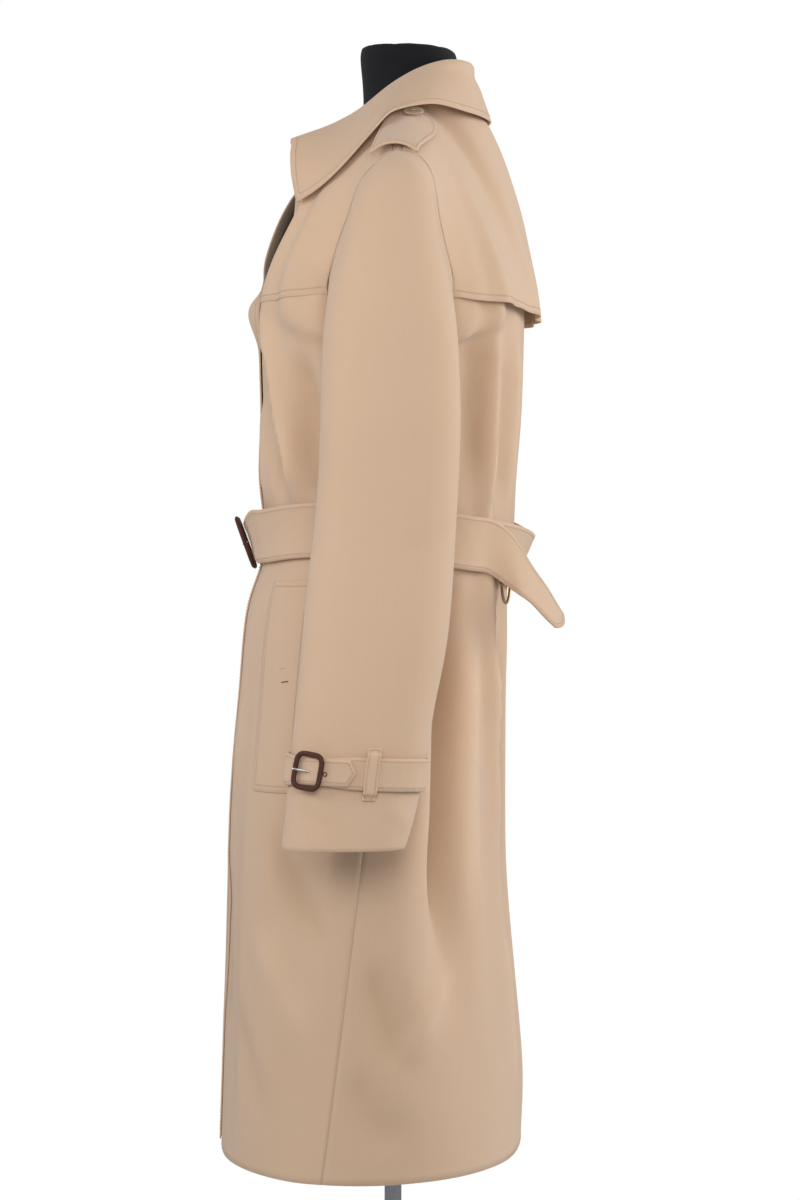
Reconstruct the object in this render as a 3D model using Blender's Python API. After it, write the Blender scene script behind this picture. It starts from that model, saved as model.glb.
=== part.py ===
"""A trench coat worn by a limbless dress form on a pole with a round base.

Frame: metres, +Z up. The pole's axis is X = Y = 0 and the floor is Z = 0. The coat's front faces -Y
and the wearer's left is +X. "Own side" values are written for the left half and mirrored for the right.

Places on the trunk of the coat are given as (turn, z). turn runs round the body: 0 at centre front,
1 at the left side seam, 2 at centre back, 3 (or -1) at the right side seam, and in between it is the
share of the cloth's width from one of these to the next. Grids of points face outwards when their
columns run to the wearer's left at the front and their rows run up.
"""

import math
from collections import namedtuple
from functools import lru_cache

import bpy
import numpy as np
from mathutils.bvhtree import BVHTree

# Driving sizes, in metres
WALL = 0.0016  # gabardine
SEAM_GAP = 0.0003  # between pieces that are sewn together
SEAM_TURN = 0.0006  # the same at the side seams, in turns
LAY_GAP = 0.0009  # between a piece and the cloth it lies on
BREAK_Z = 1.236  # where the neck opening ends at centre front
UNDERARM_Z = 1.203
BACK_TOP_Z = 1.240  # top of the straight part of the back
LEVEL_Z = 1.130  # rows are level below this height
FRONT_LAP = 0.090  # how far each front passes centre front, in turns
LAP_LIFT = 0.0030  # the right front lies this far outside the left one
LAP_BLEND = (0.12, 0.30)  # own-side turns between which the lap sinks back
FLARE_POWER = 6.0
FLARE_LOW_Z = 1.185
UPPER_ROWS = 9
FRONT_FULLNESS = 0.85
BACK_FULLNESS = 0.24
FRONT_COLUMNS = 12
SHOULDER_SHARE = 0.36  # of the half back's width, where the shoulder seam meets the neckline
SHOULDER_COLUMNS = 8
NECK_COLUMNS = 4
HEAD_ROWS = 6
SLEEVE_START = 0.0008  # from the armhole to the sleeve
SLEEVE_SEAMS = (3, 15)  # columns of the sleeve, of 20 degrees each, at its front and back seams

CAPE_HEM_SIDE_Z = 1.229
CAPE_HEM_BACK_Z = 1.223
CAPE_FULL_ROW = 22  # from here up the cape keeps to the rows of the back
FLAP_HEM_Z = 1.233
FLAP_FIRST_COLUMN = 2
FLAP_FULL_ROW = 22
FLAP_OFF = 0.0024
EDGE_INSET = (0.60, 0.25)  # how far cape and flap stay inside the armhole at their hem and above, in columns
TOP_INSET = 0.25  # and below the shoulder seam and neckline, in rows

BELT_WIDTH = 0.051
BELT_WIDTH_IN_BUCKLE = 0.0345
BELT_WIDENS = (0.085, 0.15)  # between these turns from the middle of its buckle
BELT_WALL = 0.0024
BELT_COLUMNS = 50
BUCKLE_WIDTH = 0.062
BUCKLE_HEIGHT = 0.057
BUCKLE_BAR = 0.0090
BUCKLE_THICK = 0.0050
BUCKLE_CORNER = 0.012
BUCKLE_LEAN = math.radians(20)
BUCKLE_AT = (0.0, -0.1470, 1.0025)
PRONG_RADIUS = 0.0013
TAIL_LIFT = 0.0030
TAIL_FIRST_TURN = -0.022
TAIL_LEAVES = 19  # its last column on the waist, counted in columns of the belt
TAIL_POINT = 0.006
LOOP_WIDTH = 0.010
LOOP_HEIGHT = 0.074

Welt = namedtuple("Welt", "z front_turn back_turn")
WELT = [Welt(0.763, 0.500, 0.724), Welt(0.963, 0.468, 0.712)]

CUFF_Z = 0.788
CUFF_SLOPE = 0.045  # the strap sinks a little to the back
CUFF_STRAP_WIDTH = 0.029
CUFF_STRAP_WIDTH_IN_BUCKLE = 0.0235
CUFF_STRAP_WALL = 0.0018
CUFF_TIP_LIFT = 0.0026
CUFF_BUCKLE_TILT = math.radians(6)
CUFF_BUCKLE_ANGLE = 142.0  # degrees round the sleeve: 0 inside, 90 front, 180 outside, 270 back
CUFF_TIP_ANGLE = 180.5
CUFF_TIP_POINT = 0.007
CUFF_BUCKLE_WIDTH = 0.0325
CUFF_BUCKLE_HEIGHT = 0.0370
CUFF_BUCKLE_BAR = 0.0062
CUFF_BUCKLE_THICK = 0.0042
CUFF_BUCKLE_CORNER = 0.007
CUFF_KEEPER_ANGLE = 191.0
CUFF_KEEPER_WIDTH = 0.009
CUFF_KEEPER_HEIGHT = 0.047
CUFF_KEEPER_RISE = 0.0044

EPAULETTE_WALL = 0.0022
EPAULETTE_FROM = (0.2055, 0.0010)
EPAULETTE_TO = (0.1100, 0.0215)
BUTTON_RADIUS = 0.0105
BUTTON_THICK = 0.0030
BUTTON_ROW = 7
BUTTON_LIFT = 0.0014

D_RING_WIRE = 0.0016
D_RING_WIDTH = 0.030
D_RING_DROP = 0.0215
D_RING_TURN = 1.645
D_RING_BELOW_BELT = 0.0030
D_TAB_WIDTH = 0.016
D_TAB_WALL = 0.0012
D_TAB_INSIDE = 0.0044
D_TAB_RISE = 0.010

POLE_RADIUS = 0.0087
BASE_RADIUS = 0.165
BASE_THICK = 0.012
HUB_RADIUS = 0.022
HUB_TOP_Z = 0.050

# Level sections of the trunk, superellipses of the given squareness
Section = namedtuple("Section", "z half_width front back squareness")
TRUNK = [
    Section(0.404, 0.252, -0.171, 0.1280, 2.05),
    Section(0.507, 0.246, -0.1675, 0.1230, 2.10),
    Section(0.586, 0.241, -0.1655, 0.1160, 2.15),
    Section(0.679, 0.232, -0.1635, 0.1085, 2.15),
    Section(0.786, 0.218, -0.1580, 0.1075, 2.15),
    Section(0.882, 0.202, -0.1490, 0.1085, 2.20),
    Section(0.945, 0.186, -0.1420, 0.1110, 2.20),
    Section(0.973, 0.177, -0.1318, 0.1150, 2.20),
    Section(1.010, 0.168, -0.1268, 0.1200, 2.20),
    Section(1.059, 0.172, -0.131, 0.1225, 2.25),
    Section(1.130, 0.180, -0.129, 0.1280, 2.35),
    Section(1.195, 0.186, -0.130, 0.1300, 2.60),
    Section(1.245, 0.189, -0.128, 0.1310, 2.60),
]
TRUNK_ROWS = (
    0.404, 0.470, 0.540, 0.610, 0.680, 0.745, 0.805, 0.860, 0.915, 0.950,
    0.980, 1.008, 1.036, 1.065, 1.098, 1.130, 1.170, 1.205, 1.236,
)
# Height of the last of them, from centre front or back to the underarm, under the armhole's curve
Top = namedtuple("Top", "share front back")
TRUNK_TOP = [
    Top(0.00, BREAK_Z, BACK_TOP_Z), Top(0.25, 1.2300, 1.2340), Top(0.50, 1.2080, 1.2100),
    Top(0.75, 1.1840, 1.1850), Top(0.90, 1.1830, 1.1830), Top(1.00, UNDERARM_Z, UNDERARM_Z),
]

# The hem rises a little towards centre front and centre back
Lift = namedtuple("Lift", "turn up")
HEM_LIFT = [
    Lift(0.00, 0.0070), Lift(0.15, 0.0020), Lift(0.30, -0.0010), Lift(0.90, -0.0005), Lift(1.25, 0.0020),
    Lift(1.70, 0.0025), Lift(2.00, 0.0100),
]

# The side seam leans to the front as it comes down: its depth at each height
Seam = namedtuple("Seam", "z y")
SIDE_SEAM = [
    Seam(0.404, -0.0655), Seam(0.568, -0.0442), Seam(0.709, -0.0275), Seam(0.900, -0.0080),
    Seam(1.010, -0.0045), Seam(1.130, -0.0010), Seam(1.245, 0.0005),
]

# The largest folds of the trunk: ridges stand out, valleys are negative, spread is half a fold's width
Fold = namedtuple("Fold", "turn_low turn_high z_low z_high height spread_low spread_high fade_low fade_high")
FOLDS = [
    # left back: the deep valley behind the sleeve, and the ridge from the cape down the skirt
    Fold(1.34, 1.26, 0.640, 0.945, -0.016, 0.17, 0.10, 0.16, 0.03),
    Fold(1.68, 1.50, 0.690, 0.945, 0.007, 0.10, 0.08, 0.20, 0.03),
    Fold(1.44, 1.40, 1.060, 1.200, 0.007, 0.10, 0.09, 0.03, 0.03),
    Fold(1.86, 1.76, 0.560, 0.930, -0.005, 0.13, 0.09, 0.16, 0.04),
    # left front: the pleat from the belt to the end of the neck opening, with a valley on each side
    Fold(0.57, 0.34, 1.060, 1.215, 0.008, 0.11, 0.10, 0.02, 0.03),
    Fold(0.46, 0.34, 1.060, 1.120, -0.006, 0.09, 0.07, 0.02, 0.06),
    Fold(0.72, 0.60, 1.060, 1.160, -0.008, 0.10, 0.09, 0.02, 0.04),
    Fold(0.84, 0.76, 0.480, 0.700, -0.007, 0.17, 0.12, 0.06, 0.14),
    Fold(0.34, 0.30, 0.480, 0.860, -0.004, 0.13, 0.11, 0.06, 0.10),
    # right side, as uneven
    Fold(-1.29, -1.25, 0.560, 0.940, -0.014, 0.18, 0.10, 0.14, 0.03),
    Fold(-1.63, -1.60, 0.640, 0.940, 0.005, 0.10, 0.07, 0.18, 0.03),
    Fold(-1.61, -1.58, 1.060, 1.205, 0.005, 0.10, 0.08, 0.03, 0.03),
    Fold(-0.49, -0.20, 1.060, 1.205, 0.006, 0.11, 0.08, 0.02, 0.03),
    Fold(-0.75, -0.52, 1.060, 1.180, -0.006, 0.12, 0.09, 0.02, 0.04),
    Fold(-0.72, -0.66, 0.480, 0.740, -0.007, 0.17, 0.12, 0.06, 0.12),
    # centre back
    Fold(2.03, 2.00, 0.470, 0.930, 0.005, 0.14, 0.08, 0.06, 0.04),
]

# Armhole, own side: from the underarm forward to the shoulder, and from the underarm back to it
Spot = namedtuple("Spot", "x y z")
ARMHOLE_FRONT = [
    Spot(0.1865, 0.000, UNDERARM_Z), Spot(0.1850, -0.038, 1.208), Spot(0.1815, -0.0605, 1.232),
    Spot(0.1830, -0.0560, 1.264), Spot(0.1895, -0.0424, 1.305), Spot(0.1985, -0.0250, 1.346),
    Spot(0.2050, 0.0040, 1.3665),
]
ARMHOLE_BACK = [
    Spot(0.1865, 0.000, UNDERARM_Z), Spot(0.1850, 0.036, 1.209), Spot(0.1830, 0.0550, 1.232),
    Spot(0.1855, 0.0520, 1.265), Spot(0.1910, 0.0430, 1.300), Spot(0.1985, 0.0370, 1.338),
    Spot(0.2030, 0.0260, 1.358), Spot(0.2050, 0.0040, 1.3665),
]
SHOULDER_POINT = ARMHOLE_FRONT[-1]
NECK_POINT = Spot(0.070, 0.012, 1.434)  # where the shoulder seam meets the collar
NECK_BACK = Spot(0.0, 0.073, 1.441)

# Free edge of a front, own side, from the end of the neck opening up to the neck point
NECK_EDGE = [
    Spot(0.020, -0.1225, 1.256), Spot(0.056, -0.1130, 1.275), Spot(0.079, -0.1020, 1.300),
    Spot(0.090, -0.0940, 1.328), Spot(0.0925, -0.0925, 1.356), Spot(0.0920, -0.0870, 1.377),
    Spot(0.0870, -0.0560, 1.394), Spot(0.0785, -0.0200, 1.417), NECK_POINT,
]
COLLAR_SEAM_SHARE = 0.62  # the collar is sewn to it from this share of its length
# The right front's free edge flares forward by this much at each share of its length
Flare = namedtuple("Flare", "share forward")
FLARE = [
    Flare(0.00, 0.013), Flare(0.12, 0.010), Flare(0.25, 0.018), Flare(0.36, 0.026), Flare(0.47, 0.027),
    Flare(0.56, 0.016), Flare(0.63, 0.003), Flare(0.68, 0.000), Flare(1.00, 0.000),
]

# Below the break the lap rolls forward instead, most at centre front, and its free edge turns back in
Roll = namedtuple("Roll", "share amount")
LAP_ROLL = [
    Roll(0.00, 0.15), Roll(0.083, 1.00), Roll(0.167, 0.75), Roll(0.25, 0.40), Roll(0.35, 0.12),
    Roll(0.50, 0.0), Roll(1.00, 0.0),
]
ROLL_END = 0.10  # share of the neck edge by which the roll has become a flare
LAP_REACH = (0.024, 0.010)  # the right front's first two neck spots lie this much further to the left

# Sleeve, own side: level sections from the upper arm to the hem
Ring = namedtuple("Ring", "z x y half_thick half_depth squareness")
SLEEVE = [
    Ring(1.165, 0.2330, -0.002, 0.0430, 0.0635, 2.2), Ring(1.129, 0.2360, -0.002, 0.0430, 0.0648, 2.3),
    Ring(1.056, 0.2400, -0.004, 0.0430, 0.0651, 2.3), Ring(0.999, 0.2440, -0.008, 0.0430, 0.0657, 2.3),
    Ring(0.933, 0.2510, -0.014, 0.0430, 0.0673, 2.3), Ring(0.893, 0.2560, -0.018, 0.0425, 0.0660, 2.3),
    Ring(0.858, 0.2605, -0.0235, 0.0420, 0.0640, 2.3), Ring(0.823, 0.2645, -0.028, 0.0415, 0.0630, 2.3),
    Ring(0.792, 0.2680, -0.033, 0.0410, 0.0616, 2.3), Ring(0.770, 0.2700, -0.035, 0.0405, 0.0608, 2.3),
    Ring(0.718, 0.2750, -0.045, 0.0400, 0.0565, 2.3),
]
SLEEVE_ROWS = (1.165, 1.118, 1.070, 1.022, 0.974, 0.926, 0.886, 0.850, 0.815, 0.780, 0.748, 0.718)

# Collar, own side, from centre back to its front end: the roll line and the free lower edge
Station = namedtuple("Station", "roll_x roll_y roll_z edge_x edge_y edge_z")
COLLAR = [
    Station(0.0000, 0.0765, 1.4805, 0.000, 0.0985, 1.4225),
    Station(0.0300, 0.0705, 1.4795, 0.036, 0.0925, 1.4215),
    Station(0.0540, 0.0500, 1.4760, 0.078, 0.0720, 1.4220),
    Station(0.0660, 0.0220, 1.4650, 0.113, 0.0350, 1.4245),
    Station(0.0725, -0.0060, 1.4470, 0.126, 0.0100, 1.4170),
    Station(0.0815, -0.0320, 1.4245, 0.152, -0.0090, 1.3962),
    Station(0.0900, -0.0580, 1.4085, 0.165, -0.0380, 1.3655),
    Station(0.0955, -0.0810, 1.3990, 0.159, -0.0640, 1.3420),
    Station(0.0985, -0.0985, 1.3925, 0.131, -0.0918, 1.3262),
]
COLLAR_HALF_COLUMNS = 13
COLLAR_SAG = (0.001, 0.005)  # how much the fall rounds out, at centre back and at the side
ROLL_HALF = 0.0034  # half the thickness of the rolled edge
# The least room of the fall's outer face over what lies under it, more where it passes over the button
Room = namedtuple("Room", "share least")
COLLAR_ROOM = [
    Room(0.00, 0.0045), Room(0.38, 0.0045), Room(0.46, 0.0085), Room(0.58, 0.0085), Room(0.66, 0.0065),
    Room(0.80, 0.0045), Room(1.00, 0.0045),
]
# The fall's rows move back by this at its front end, from its free edge up
COLLAR_END_BACK = (0.0, -0.0030, -0.0042, -0.0038, -0.0020)
INNER_LEG = (0.012, 0.0045)  # height of the fold's inner leg, at centre back and from the side on

# The cape stands off the back by this much at its hem
Stand = namedtuple("Stand", "turn off")
CAPE_HEM_OFF = [
    Stand(1.00, 0.001), Stand(1.20, 0.003), Stand(1.45, 0.008), Stand(1.66, 0.009), Stand(1.78, 0.016),
    Stand(1.88, 0.009), Stand(2.00, 0.0155), Stand(2.13, 0.009), Stand(2.24, 0.014), Stand(2.38, 0.008),
    Stand(2.60, 0.008), Stand(2.80, 0.003), Stand(3.00, 0.001),
]

# Belt round the waist: how far its upper and lower edges stand off the coat, and its middle's height
Round = namedtuple("Round", "turn off_high off_low z")
BELT = [
    Round(0.03, 0.0140, 0.0008, 1.0030), Round(0.14, 0.0125, 0.0010, 1.0062),
    Round(0.35, 0.0060, 0.0010, 1.0075), Round(0.70, 0.0016, 0.0010, 1.0115),
    Round(1.05, 0.0020, 0.0012, 1.0070), Round(1.35, 0.0040, 0.0020, 0.9990),
    Round(1.60, 0.0105, 0.0062, 0.9930), Round(1.80, 0.0165, 0.0060, 0.9880),
    Round(2.00, 0.0200, 0.0040, 0.9835), Round(2.20, 0.0160, 0.0030, 0.9920),
    Round(2.40, 0.0090, 0.0020, 1.0030), Round(2.65, 0.0040, 0.0014, 1.0090),
    Round(3.00, 0.0020, 0.0012, 1.0110), Round(3.45, 0.0020, 0.0010, 1.0080),
    Round(3.75, 0.0090, 0.0010, 1.0055), Round(3.97, 0.0140, 0.0010, 1.0030),
]
# Where the belt's free end has left the waist: its middle, and the way its upper edge lies from there
Hang = namedtuple("Hang", "x y z up_x up_y up_z")
TAIL_FREE = [
    Hang(0.1190, 0.1180, 0.9780, -0.45, 0.16, 0.88),
    Hang(0.1155, 0.1285, 0.9655, -0.78, 0.24, 0.56),
    Hang(0.1100, 0.1420, 0.9510, -0.89, 0.28, 0.34),
    Hang(0.1060, 0.1530, 0.9365, -0.93, 0.26, 0.25),
    Hang(0.1030, 0.1622, 0.9255, -0.95, 0.19, 0.22),
]

# Shoulder strap from the armhole to its rounded end under the collar
Strap = namedtuple("Strap", "share half_width lift")
EPAULETTE = [
    Strap(0.00, 0.0235, 0.0050), Strap(0.15, 0.0235, 0.0036), Strap(0.40, 0.0240, 0.0018),
    Strap(0.70, 0.0245, 0.0012), Strap(0.86, 0.0240, 0.0012), Strap(0.95, 0.0210, 0.0012),
    Strap(1.00, 0.0150, 0.0012),
]
EPAULETTE_ROWS = (0.0, 0.08, 0.18, 0.32, 0.48, 0.64, 0.78, 0.88, 0.95, 1.0)

# How a narrow loop rises over what it holds, along its length
Rise = namedtuple("Rise", "share high")
LOOP_RISE = [
    Rise(0.00, 0.0), Rise(0.07, 0.0), Rise(0.12, 0.9), Rise(0.16, 1.0), Rise(0.50, 1.0),
    Rise(0.84, 1.0), Rise(0.88, 0.9), Rise(0.93, 0.0), Rise(1.00, 0.0),
]

# Dress form: level sections from the neck to the hip
FORM = [
    Section(1.4955, 0.049, -0.0335, 0.0650, 2.0), Section(1.468, 0.048, -0.0315, 0.0645, 2.0),
    Section(1.448, 0.049, -0.0300, 0.0640, 2.0), Section(1.430, 0.059, -0.0300, 0.0620, 2.0),
    Section(1.414, 0.080, -0.0330, 0.0570, 2.0), Section(1.398, 0.106, -0.0380, 0.0560, 2.0),
    Section(1.380, 0.134, -0.0450, 0.0600, 2.0), Section(1.358, 0.158, -0.0530, 0.0680, 2.1),
    Section(1.330, 0.166, -0.0620, 0.0800, 2.2), Section(1.290, 0.163, -0.0760, 0.0910, 2.3),
    Section(1.230, 0.158, -0.0980, 0.1000, 2.2), Section(1.170, 0.148, -0.1020, 0.0960, 2.2),
    Section(1.100, 0.130, -0.0900, 0.0880, 2.1), Section(1.020, 0.118, -0.0820, 0.0840, 2.1),
    Section(0.950, 0.136, -0.0900, 0.0900, 2.1), Section(0.880, 0.152, -0.0980, 0.0940, 2.1),
    Section(0.800, 0.150, -0.0960, 0.0920, 2.1),
]
FORM_COLUMNS = 24
NECK_TILT = 0.02  # the top of the neck falls this much to the back

# name: base colour, roughness, metallic
FINISHES = {
    "gabardine": ((0.586, 0.434, 0.295), 0.85, 0.0),
    "leather": ((0.075, 0.025, 0.014), 0.45, 0.0),
    "button": ((0.420, 0.290, 0.180), 0.35, 0.0),
    "steel": ((0.620, 0.600, 0.560), 0.30, 1.0),
    "brass": ((0.520, 0.400, 0.220), 0.35, 1.0),
    "form_cloth": ((0.012, 0.012, 0.015), 0.90, 0.0),
    "pole_chrome": ((0.450, 0.450, 0.460), 0.25, 1.0),
    "base_black": ((0.020, 0.020, 0.022), 0.45, 0.0),
}


# ---------------------------------------------------------------- tables and curves

def smooth_read(table, key, value, at):
    """Value of a table's column at a place between its rows, on a smooth curve through them."""
    keys = np.array([getattr(row, key) for row in table], float)
    values = np.array([getattr(row, value) for row in table], float)
    if keys[0] > keys[-1]:
        keys = keys[::-1]
        values = values[::-1]
    at = float(min(max(at, keys[0]), keys[-1]))
    i = int(min(max(np.searchsorted(keys, at) - 1, 0), len(keys) - 2))
    slopes = np.gradient(values, keys)
    width = keys[i + 1] - keys[i]
    s = (at - keys[i]) / width
    rise = values[i + 1] * (3 * s ** 2 - 2 * s ** 3) + values[i] * (1 - 3 * s ** 2 + 2 * s ** 3)
    return rise + width * (slopes[i] * (s ** 3 - 2 * s ** 2 + s) + slopes[i + 1] * (s ** 3 - s ** 2))


def linear_read(table, key, value, at):
    """Value of a table's column at a place between its rows, on straight lines."""
    keys = [getattr(row, key) for row in table]
    return float(np.interp(at, keys, [getattr(row, value) for row in table]))


def arc_lengths(points):
    return np.concatenate([[0], np.cumsum(np.linalg.norm(np.diff(points, axis=0), axis=1))])


def resampled(points, count):
    """count points, equally spaced along straight lines through the given ones."""
    length = arc_lengths(points)
    wanted = np.linspace(0, length[-1], count)
    return np.stack([np.interp(wanted, length, points[:, k]) for k in range(3)], axis=1)


Knot = namedtuple("Knot", "s x y z")


def smooth_line(points, count):
    """count points, equally spaced along a smooth curve through the given ones."""
    points = np.array(points, float)
    knots = [Knot(s, *p) for s, p in zip(arc_lengths(points), points)]
    places = np.linspace(0, knots[-1].s, 12 * len(points))
    return resampled(np.array([[smooth_read(knots, "s", k, s) for k in "xyz"] for s in places]), count)


def ease(low, high, at):
    """0 below low, 1 above high, and a smooth step between."""
    s = min(max((at - low) / (high - low), 0.0), 1.0)
    return s * s * (3 - 2 * s)


def unit(vector):
    return np.array(vector, float) / np.linalg.norm(vector)


def hermite(start, start_way, end, end_way, s):
    """Point at share s of a cubic that leaves start along start_way and comes to end along end_way."""
    return (
        start * (1 - 3 * s ** 2 + 2 * s ** 3) + start_way * (s - 2 * s ** 2 + s ** 3)
        + end * (3 * s ** 2 - 2 * s ** 3) + end_way * (s ** 3 - s ** 2)
    )


def mirrored(grid):
    """The grid on the other side of the body, with its columns turned round so that it still faces out."""
    return grid[:, ::-1] * np.array([-1.0, 1.0, 1.0])


def normals_of(grid, closed=False):
    """Unit normals of a grid of points, whose columns may close into a tube."""
    across = np.roll(grid, -1, axis=1) - np.roll(grid, 1, axis=1) if closed else np.gradient(grid, axis=1)
    up = np.gradient(grid, axis=0)
    normals = np.cross(across, up)
    return normals / np.linalg.norm(normals, axis=2, keepdims=True)


# ---------------------------------------------------------------- objects

def clear_scene():
    for obj in list(bpy.data.objects):
        bpy.data.objects.remove(obj, do_unlink=True)


def finish_material(finish):
    material = bpy.data.materials.get(finish)
    if material is None:
        material = bpy.data.materials.new(finish)
        material.use_nodes = True
        colour, roughness, metallic = FINISHES[finish]
        shader = material.node_tree.nodes["Principled BSDF"]
        shader.inputs["Base Color"].default_value = (*colour, 1.0)
        shader.inputs["Roughness"].default_value = roughness
        shader.inputs["Metallic"].default_value = metallic
    return material


def add_object(name, points, faces, finish, smooth_under=math.radians(50)):
    mesh = bpy.data.meshes.new(name)
    mesh.from_pydata([tuple(p) for p in points], [], faces)
    mesh.shade_smooth()
    mesh.set_sharp_from_angle(angle=smooth_under)
    mesh.materials.append(finish_material(finish))
    obj = bpy.data.objects.new(name, mesh)
    bpy.context.scene.collection.objects.link(obj)
    return obj


def grid_faces(rows, columns, closed=False):
    """Triangles over a grid of points numbered row by row, with every cell cut along the same diagonal."""
    faces = []
    for r in range(rows - 1):
        for c in range(columns if closed else columns - 1):
            a, b = r * columns + c, r * columns + (c + 1) % columns
            faces += [(a, b, b + columns), (a, b + columns, a + columns)]
    return faces


def rim_loops(rows, columns, closed):
    """Free edges of a grid, each walked with the grid on its left."""
    top = (rows - 1) * columns
    if closed:
        return [list(range(columns)), list(range(top, top + columns))[::-1]]
    right = [r * columns + columns - 1 for r in range(1, rows)]
    left = [r * columns for r in range(rows - 2, 0, -1)]
    return [list(range(columns)) + right + list(range(top, top + columns - 1))[::-1] + left]


def cloth(name, grid, finish="gabardine", wall=WALL, closed=False, ways=None):
    """A wall whose outer face runs through the grid's points. ways are its normals, if they're given."""
    rows, columns = grid.shape[:2]
    ways = normals_of(grid, closed) if ways is None else ways
    points = np.concatenate([grid.reshape(-1, 3), (grid - ways * wall).reshape(-1, 3)])
    size = rows * columns
    outer = grid_faces(rows, columns, closed)
    faces = outer + [tuple(size + i for i in face[::-1]) for face in outer]
    for loop in rim_loops(rows, columns, closed):
        for a, b in zip(loop, loop[1:] + loop[:1]):
            faces += [(b, a, size + a), (b, size + a, size + b)]
    return add_object(name, points, faces, finish)


def lathe_faces(rings, sides):
    """Faces of a turned solid whose rings run from its bottom to its top, closed at both ends."""
    top = (rings - 1) * sides
    return grid_faces(rings, sides, True) + [tuple(range(sides))[::-1], tuple(range(top, top + sides))]


def turned(name, profile, sides, finish, place=None):
    """A solid of revolution about Z. profile runs up the outside as (radius, height) pairs."""
    angles = [2 * math.pi * k / sides for k in range(sides)]
    points = np.array([(r * math.cos(a), r * math.sin(a), z) for r, z in profile for a in angles])
    if place is not None:
        origin, axes = place
        points = origin + points @ axes
    return add_object(name, points, lathe_faces(len(profile), sides), finish, math.radians(35))


def looped_bar(name, outline, ways, bar, thick, place, finish, sides=6):
    """A closed bar of oval section along a flat outline. ways are the outline's outward directions."""
    origin, axes = place
    points = []
    for (x, y), (wx, wy) in zip(outline, ways):
        for k in range(sides):
            a = 2 * math.pi * (k + 0.5) / sides
            reach = bar / 2 * math.cos(a)
            points.append((x + wx * reach, y + wy * reach, thick / 2 * math.sin(a)))
    points = origin + np.array(points) @ axes
    faces = grid_faces(len(outline) + 1, sides, True)
    total = len(points)
    faces = [tuple(i % total for i in face)[::-1] for face in faces]
    return add_object(name, points, faces, finish, math.radians(70))


def round_rectangle(width, height, corner, steps=4):
    """Centre line of a rectangle with round corners, and its outward directions."""
    outline, ways = [], []
    for quarter, (sx, sy) in enumerate(((1, 1), (-1, 1), (-1, -1), (1, -1))):
        for k in range(steps + 1):
            a = math.pi / 2 * (quarter + k / steps)
            way = (math.cos(a), math.sin(a))
            middle = (sx * (width / 2 - corner), sy * (height / 2 - corner))
            outline.append((middle[0] + corner * way[0], middle[1] + corner * way[1]))
            ways.append(way)
    return outline, ways


def d_outline(width, drop, corner, steps=10):
    """Centre line of a D lying on its back: a straight bar at height 0 and a half oval under it."""
    outline, ways = [], []
    for sx, first in ((1, 0.0), (-1, math.pi / 2)):
        for k in range(4):
            a = first + math.pi / 2 * k / 3
            way = (math.cos(a), math.sin(a))
            outline.append((sx * (width / 2 - corner) + corner * way[0], -corner + corner * way[1]))
            ways.append(way)
    for k in range(1, steps):
        a = math.pi * (1 + k / steps)
        way = unit((math.cos(a) / (width / 2), math.sin(a) / (drop - corner)))
        outline.append((width / 2 * math.cos(a), -corner + (drop - corner) * math.sin(a)))
        ways.append(tuple(way))
    return outline, ways


def rod(name, points, radius, finish, sides=6):
    """A round rod through the points, with its first and last rings drawn in."""
    points = np.array(points, float)
    ways = np.gradient(points, axis=0)
    rings = []
    for i, (point, way) in enumerate(zip(points, ways)):
        way = unit(way)
        side = unit(np.cross(way, (0.0, 0.0, 1.0)))
        up = np.cross(side, way)
        size = radius * (0.6 if i in (0, len(points) - 1) else 1.0)
        rings += [
            point + size * (math.cos(a) * side + math.sin(a) * up)
            for a in (2 * math.pi * k / sides for k in range(sides))
        ]
    faces = [face[::-1] for face in lathe_faces(len(points), sides)]
    return add_object(name, rings, faces, finish)


def frame_axes(across, out):
    """Rows that turn (across, up, out) coordinates into the coat's frame."""
    across, out = unit(across), unit(out)
    return np.array([across, np.cross(out, across), out])


# ---------------------------------------------------------------- the trunk of the coat

@lru_cache(maxsize=None)
def half_outline(z):
    """Points of the left half of a level section from centre front to centre back, and their turns."""
    half_width, front, back, squareness = (
        smooth_read(TRUNK, "z", name, z) for name in ("half_width", "front", "back", "squareness")
    )
    middle, depth = (front + back) / 2, (back - front) / 2
    angles = np.linspace(0, math.pi, 361)
    power = 2 / squareness
    x = half_width * np.abs(np.sin(angles)) ** power
    y = middle - depth * np.sign(np.cos(angles)) * np.abs(np.cos(angles)) ** power
    length = np.concatenate([[0], np.cumsum(np.hypot(np.diff(x), np.diff(y)))])
    at_seam = float(np.interp(smooth_read(SIDE_SEAM, "z", "y", z), y, length))
    return x, y, np.interp(length, [0, at_seam, length[-1]], [0, 1, 2])


def fold_height(turn, z):
    """How far the folds carry the cloth out at a place on the trunk."""
    total = 0.0
    for fold in FOLDS:
        reach = min(max((z - fold.z_low) / (fold.z_high - fold.z_low), 0.0), 1.0)
        middle = fold.turn_low + reach * (fold.turn_high - fold.turn_low)
        spread = fold.spread_low + reach * (fold.spread_high - fold.spread_low)
        away = abs((turn - middle + 2) % 4 - 2) / spread
        if away < 1:
            starts = ease(fold.z_low - fold.fade_low, fold.z_low, z)
            ends = ease(fold.z_high, fold.z_high + fold.fade_high, z)
            total += fold.height * starts * (1 - ends) * (0.5 + 0.5 * math.cos(math.pi * away))
    return total


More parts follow.
